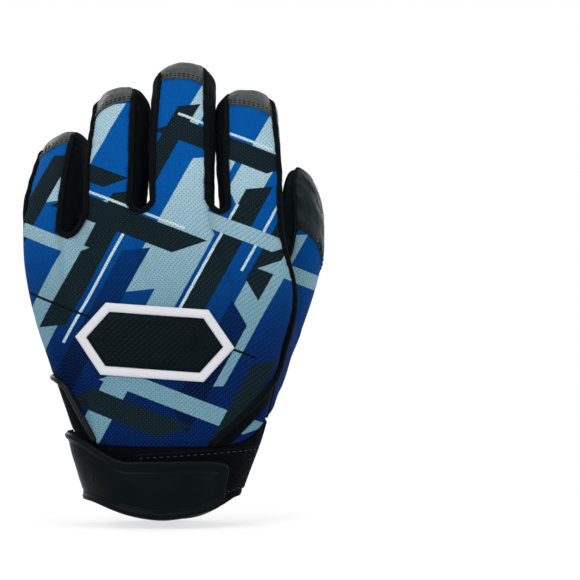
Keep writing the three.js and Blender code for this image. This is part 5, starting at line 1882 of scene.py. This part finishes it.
loop_outer = lifted(loop_skin, SEAM + HOOK)
loop = sew("loop_patch_pile", loop_outer, (LOOP_FROM, LOOP_TO), (0, 1), (120, 40), loop_relief, wall=HOOK,
           turned="lrbt")
dress(loop, "pile", "hook_and_loop", "hand", "loop_patch")


def root_skin(share, up):
    return wrist(share, lerp(lower_edge(share) + STRAP_BOTTOM, STRAP_TOP_ROOT, up))


root = sew("strap_root_webbing", lifted(root_skin, SEAM + ROOT_THICK), (ROOT_BACK, STRAP_ROOT - ROOT_GAP),
           (0, 1), (34, 40), wall=ROOT_THICK, turned="lbt")
dress(root, "cuff", "cuff_knit", "hand", "strap_root")
print("on the cuff: loop patch and strap root")

# %% [markdown]
# ## The badge
# A rubber badge is welded on the back of the hand: a long hexagon with a pale rim round a dark field of
# small moulded studs. A flat plate would stand off the curved hand, so both pieces are laid on the back's
# surface.

# %% Badge field
BADGE = dict(x=-3.3, z=71.5, half=31.0, high=14.0, slant=11.0, tilt=math.radians(-4))
BADGE_RIM = 3.6
BADGE_THICK = 0.8
BADGE_LIFT = SEAM + BADGE_THICK
STUD, STUD_RISE, BADGE_SUNK = 2.4, 0.26, 0.1
RIM_CROWN, RIM_ROUNDNESS, RIM_OVERLAP = 0.25, 0.6, 0.05


def hexagon(inset):
    edge = math.hypot(BADGE["slant"], BADGE["high"])
    high = BADGE["high"] - inset
    return BADGE["half"] - inset * edge / BADGE["high"], high, BADGE["slant"] * high / BADGE["high"]


def back_above(x, z):
    """The back's surface at a place seen from the back."""
    low, high = np.zeros_like(x), np.ones_like(x)
    for _ in range(30):
        share = (low + high) / 2
        left = hand_skin(-1, share, z)[..., 0] < x
        low, high = np.where(left, share, low), np.where(left, high, share)
    return hand_skin(-1, (low + high) / 2, z)


def on_badge(side, up):
    x = BADGE["x"] + side * math.cos(BADGE["tilt"]) - up * math.sin(BADGE["tilt"])
    z = BADGE["z"] + side * math.sin(BADGE["tilt"]) + up * math.cos(BADGE["tilt"])
    return back_above(x, z)


def field_skin(s, t):
    half, high, slant = hexagon(BADGE_RIM + 0.1)
    return on_badge(s * (half - slant * np.abs(t)), high * t)


def field_relief(s, t, across, along, edges):
    half, high, slant = hexagon(BADGE_RIM)
    x, y = s * (half - slant * np.abs(t)), high * t
    inside = smooth((nearest_edge(edges) - 1.4) / 1.2)
    studs = np.abs(np.sin(math.pi * (x + y) / STUD) * np.sin(math.pi * (x - y) / STUD))
    return STUD_RISE * inside * studs - BADGE_SUNK


field = sew("badge_field_rubber", lifted(field_skin, BADGE_LIFT), (-1, 1), (-1, 1), (150, 70), field_relief,
            wall=BADGE_THICK, turned="lrbt", eased=(0.2, 0.2))
dress(field, "badge", "badge_rubber", "hand", "badge_field")
print("badge field:", len(field.data.vertices), "points")


# %% Badge rim
def rim_skin(turn, out):
    half, high, slant = hexagon(BADGE_RIM * (1 - out) - RIM_OVERLAP)
    flat = half - slant
    corners_x = np.stack([half, flat, -flat, -half, -flat, flat, half])
    corners_y = np.stack([0 * high, high, high, 0 * high, -high, -high, 0 * high])
    at = (turn - np.floor(turn)) * 6
    k = np.clip(at.astype(int), 0, 5)

    def between(corners):
        here = np.take_along_axis(corners, k[None], 0)[0]
        beyond = np.take_along_axis(corners, (k + 1)[None], 0)[0]
        return lerp(here, beyond, at - k)

    return on_badge(between(corners_x), between(corners_y))


def rim_relief(turn, out, across, along, edges):
    return RIM_CROWN * np.sin(math.pi * np.clip(out, 0, 1)) ** RIM_ROUNDNESS - BADGE_SUNK


def badge_normal(place):
    step = 0.5
    x, z = place[..., 0], place[..., 2]
    du = back_above(x + step, z) - back_above(x - step, z)
    dv = back_above(x, z + step) - back_above(x, z - step)
    return unit(np.cross(du, dv))


def rim_lifted(turn, out):
    place = rim_skin(turn, out)
    return place + badge_normal(place) * BADGE_LIFT


rim = sew("badge_rim_rubber", rim_lifted, (0, 1), (0, 1), (240, 10), rim_relief, wall=BADGE_THICK, flip=True,
          closed=True, turned="bt")
dress(rim, "rim", "badge_rim", "hand", "badge_rim")
print("badge rim:", len(rim.data.vertices), "points")

# %% [markdown]
# ## Seam rows on the hand
# Rows of stitches show how the glove is put together: two beside the welt of the thumb's seam on the
# palm, one above the cuff on each side of the hand, and three along the edges of the loop patch. Threads
# could be drawn by a texture, but real ones stand up and catch light.

# %% Stitches
WELT_R = 0.85
PALM_ROWS = (0.018, 0.036)
FOOT_ROW = 2.2
ROW_END = 0.02
LOOP_ROWS, LOOP_END_ROW = (0.07, 0.93), 0.018


def palm_at(share, z):
    return hand_skin(1, share, z)


heights = np.linspace(THENAR_START + 3, THUMB_CROTCH - 4, 90)
seam_share = thenar_share(heights)
path, out = on_surface(palm_at, seam_share, heights, flip=True, lift=0.1)
welt = cord("palm_seam_welt", path, out, WELT_R, tails=(4, 4), waver=0.06, seed=140)
dress(welt, "palm", "palm_leather", "hand")
rows = [on_surface(palm_at, seam_share - gap, heights, flip=True, lift=0.12) for gap in PALM_ROWS]
thenar_rows = stitch("palm_seam_stitches", rows, length=1.8, pitch=2.5)
dress(thenar_rows, "grey thread", "palm_leather", "hand")

spread = np.linspace(VENT_WIDTH + ROW_END, side_share(seam_foot) - ROW_END, 90)
rows = [on_surface(back_of, spread, cuff_top(-1, spread) + FOOT_ROW, lift=0.05)]
foot_rows = stitch("back_foot_stitches", rows, length=1.9, pitch=2.6)
dress(foot_rows, "thread", "print_cloth", "hand")

spread = np.linspace(ROW_END, thenar_share(THENAR_START) - ROW_END, 90)
rows = [on_surface(palm_at, spread, cuff_top(1, spread) + FOOT_ROW, flip=True, lift=0.05)]
palm_foot_rows = stitch("palm_foot_stitches", rows, length=1.9, pitch=2.6)
dress(palm_foot_rows, "grey thread", "palm_leather", "hand")

ends = np.linspace(0.06, 0.94, 30)
sides = np.linspace(LOOP_FROM + ROW_END, LOOP_TO - ROW_END, 60)
rows = [on_surface(loop_outer, sides, np.full(60, share), lift=-0.1) for share in LOOP_ROWS]
rows.append(on_surface(loop_outer, np.full(30, LOOP_TO - LOOP_END_ROW), ends, lift=-0.1))
box_rows = stitch("loop_box_stitches", rows, length=1.5, pitch=2.6, radius=0.17)
dress(box_rows, "pale thread", "hook_and_loop", "hand")
print("on the hand: a welt and 4 pieces of stitching")

# %% [markdown]
# ## Stage, light and camera
# A product picture has a pale floor, a white background and large soft lights. The background is white
# only where the camera sees it, straight, in a gloss or through glass, so that it doesn't wash out the
# dark leather.

# %% Floor and world
FLOOR_TONE = (0.9, 0.9, 0.9, 1)
FLOOR_DROP = 0.4 * MM
GLOW_FROM, GLOW_TO, GLOW_NEAR = 0.12, 0.4, 0.7
WHITE = (1, 1, 1, 1)
AMBIENT = 0.36


def seen_rays(tree):
    """One for the rays that come from the camera, from a gloss or through glass."""
    rays = put(tree, "LightPath").outputs
    seen = calc(tree, "MAXIMUM", rays["Is Camera Ray"], rays["Is Transmission Ray"])
    return calc(tree, "MAXIMUM", seen, rays["Is Glossy Ray"])


def pale_floor():
    material = bpy.data.materials.new("pale floor")
    material.use_nodes = True
    tree = material.node_tree
    shader = tree.nodes["Principled BSDF"]
    shader.inputs["Base Color"].default_value = FLOOR_TONE
    shader.inputs["Roughness"].default_value = 0.9
    shader.inputs["Specular IOR Level"].default_value = 0.1
    glow = put(tree, "Emission", {"Color": WHITE, "Strength": 1.0})
    place = put(tree, "TexCoord").outputs["Object"]
    far = put(tree, "VectorMath", {0: place}, operation="LENGTH").outputs["Value"]
    share = calc(tree, "MULTIPLY", seen_rays(tree), ramp(tree, far, GLOW_FROM, GLOW_TO, GLOW_NEAR, 1.0))
    mixed = put(tree, "MixShader", {0: share, 1: shader.outputs[0], 2: glow.outputs[0]})
    tree.links.new(mixed.outputs[0], tree.nodes["Material Output"].inputs["Surface"])
    return material


bm = bmesh.new()
bmesh.ops.create_circle(bm, cap_ends=True, segments=96, radius=5)
floor = object_of("floor", bm)
for vert in floor.data.vertices:
    vert.co.z = -FLOOR_DROP
floor.data.materials.append(pale_floor())
floor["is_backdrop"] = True

world = bpy.data.worlds.new("studio")
bpy.context.scene.world = world
world.use_nodes = True
sky = world.node_tree
level = put(sky, "MapRange", {"Value": seen_rays(sky), "To Min": AMBIENT, "To Max": 1.0}).outputs["Result"]
background = sky.nodes["Background"]
background.inputs["Color"].default_value = WHITE
sky.links.new(level, background.inputs["Strength"])
print("stage:", floor.name, "and", world.name)


# %% Lights and camera
def softbox(name, place, aim, size, watts):
    lamp = bpy.data.lights.new(name, "AREA")
    lamp.shape = "DISK"
    lamp.size = size
    lamp.energy = watts
    made = bpy.data.objects.new(name, lamp)
    made.location = place
    made.rotation_euler = (Vector(aim) - Vector(place)).to_track_quat("-Z", "Y").to_euler()
    bpy.context.scene.collection.objects.link(made)


MIDDLE = (0, 0, 0.1)
softbox("key", (-0.55, -0.95, 0.75), MIDDLE, 0.7, 8)
softbox("fill", (0.8, -0.85, 0.35), MIDDLE, 0.8, 4.2)
softbox("top", (0.05, -0.05, 1.1), MIDDLE, 0.6, 5)
softbox("behind left", (-0.7, 0.8, 0.55), MIDDLE, 0.7, 6)
softbox("behind right", (0.7, 0.8, 0.45), MIDDLE, 0.7, 6)

PIXEL = 0.394 * MM
PHOTO_WIDTH = 580
# The pixel of the photo where the middle of the wrist's mouth is
GLOVE_MIDDLE = (165, 523)
DISTANCE = 1.1
SENSOR = 36
camera_data = bpy.data.cameras.new("camera")
camera_data.sensor_width = SENSOR
camera_data.lens = SENSOR * DISTANCE / (PHOTO_WIDTH * PIXEL)
camera = bpy.data.objects.new("camera", camera_data)
side = (PHOTO_WIDTH / 2 - GLOVE_MIDDLE[0]) * PIXEL
height = (GLOVE_MIDDLE[1] - PHOTO_WIDTH / 2) * PIXEL
camera.location = (side, -DISTANCE, height)
camera.rotation_euler = (math.radians(90), 0, 0)
bpy.context.scene.collection.objects.link(camera)
bpy.context.scene.camera = camera
bpy.context.scene.view_settings.view_transform = "Standard"
print("camera: lens of", round(camera_data.lens), "mm")

# %% Sizes and finish
low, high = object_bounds()
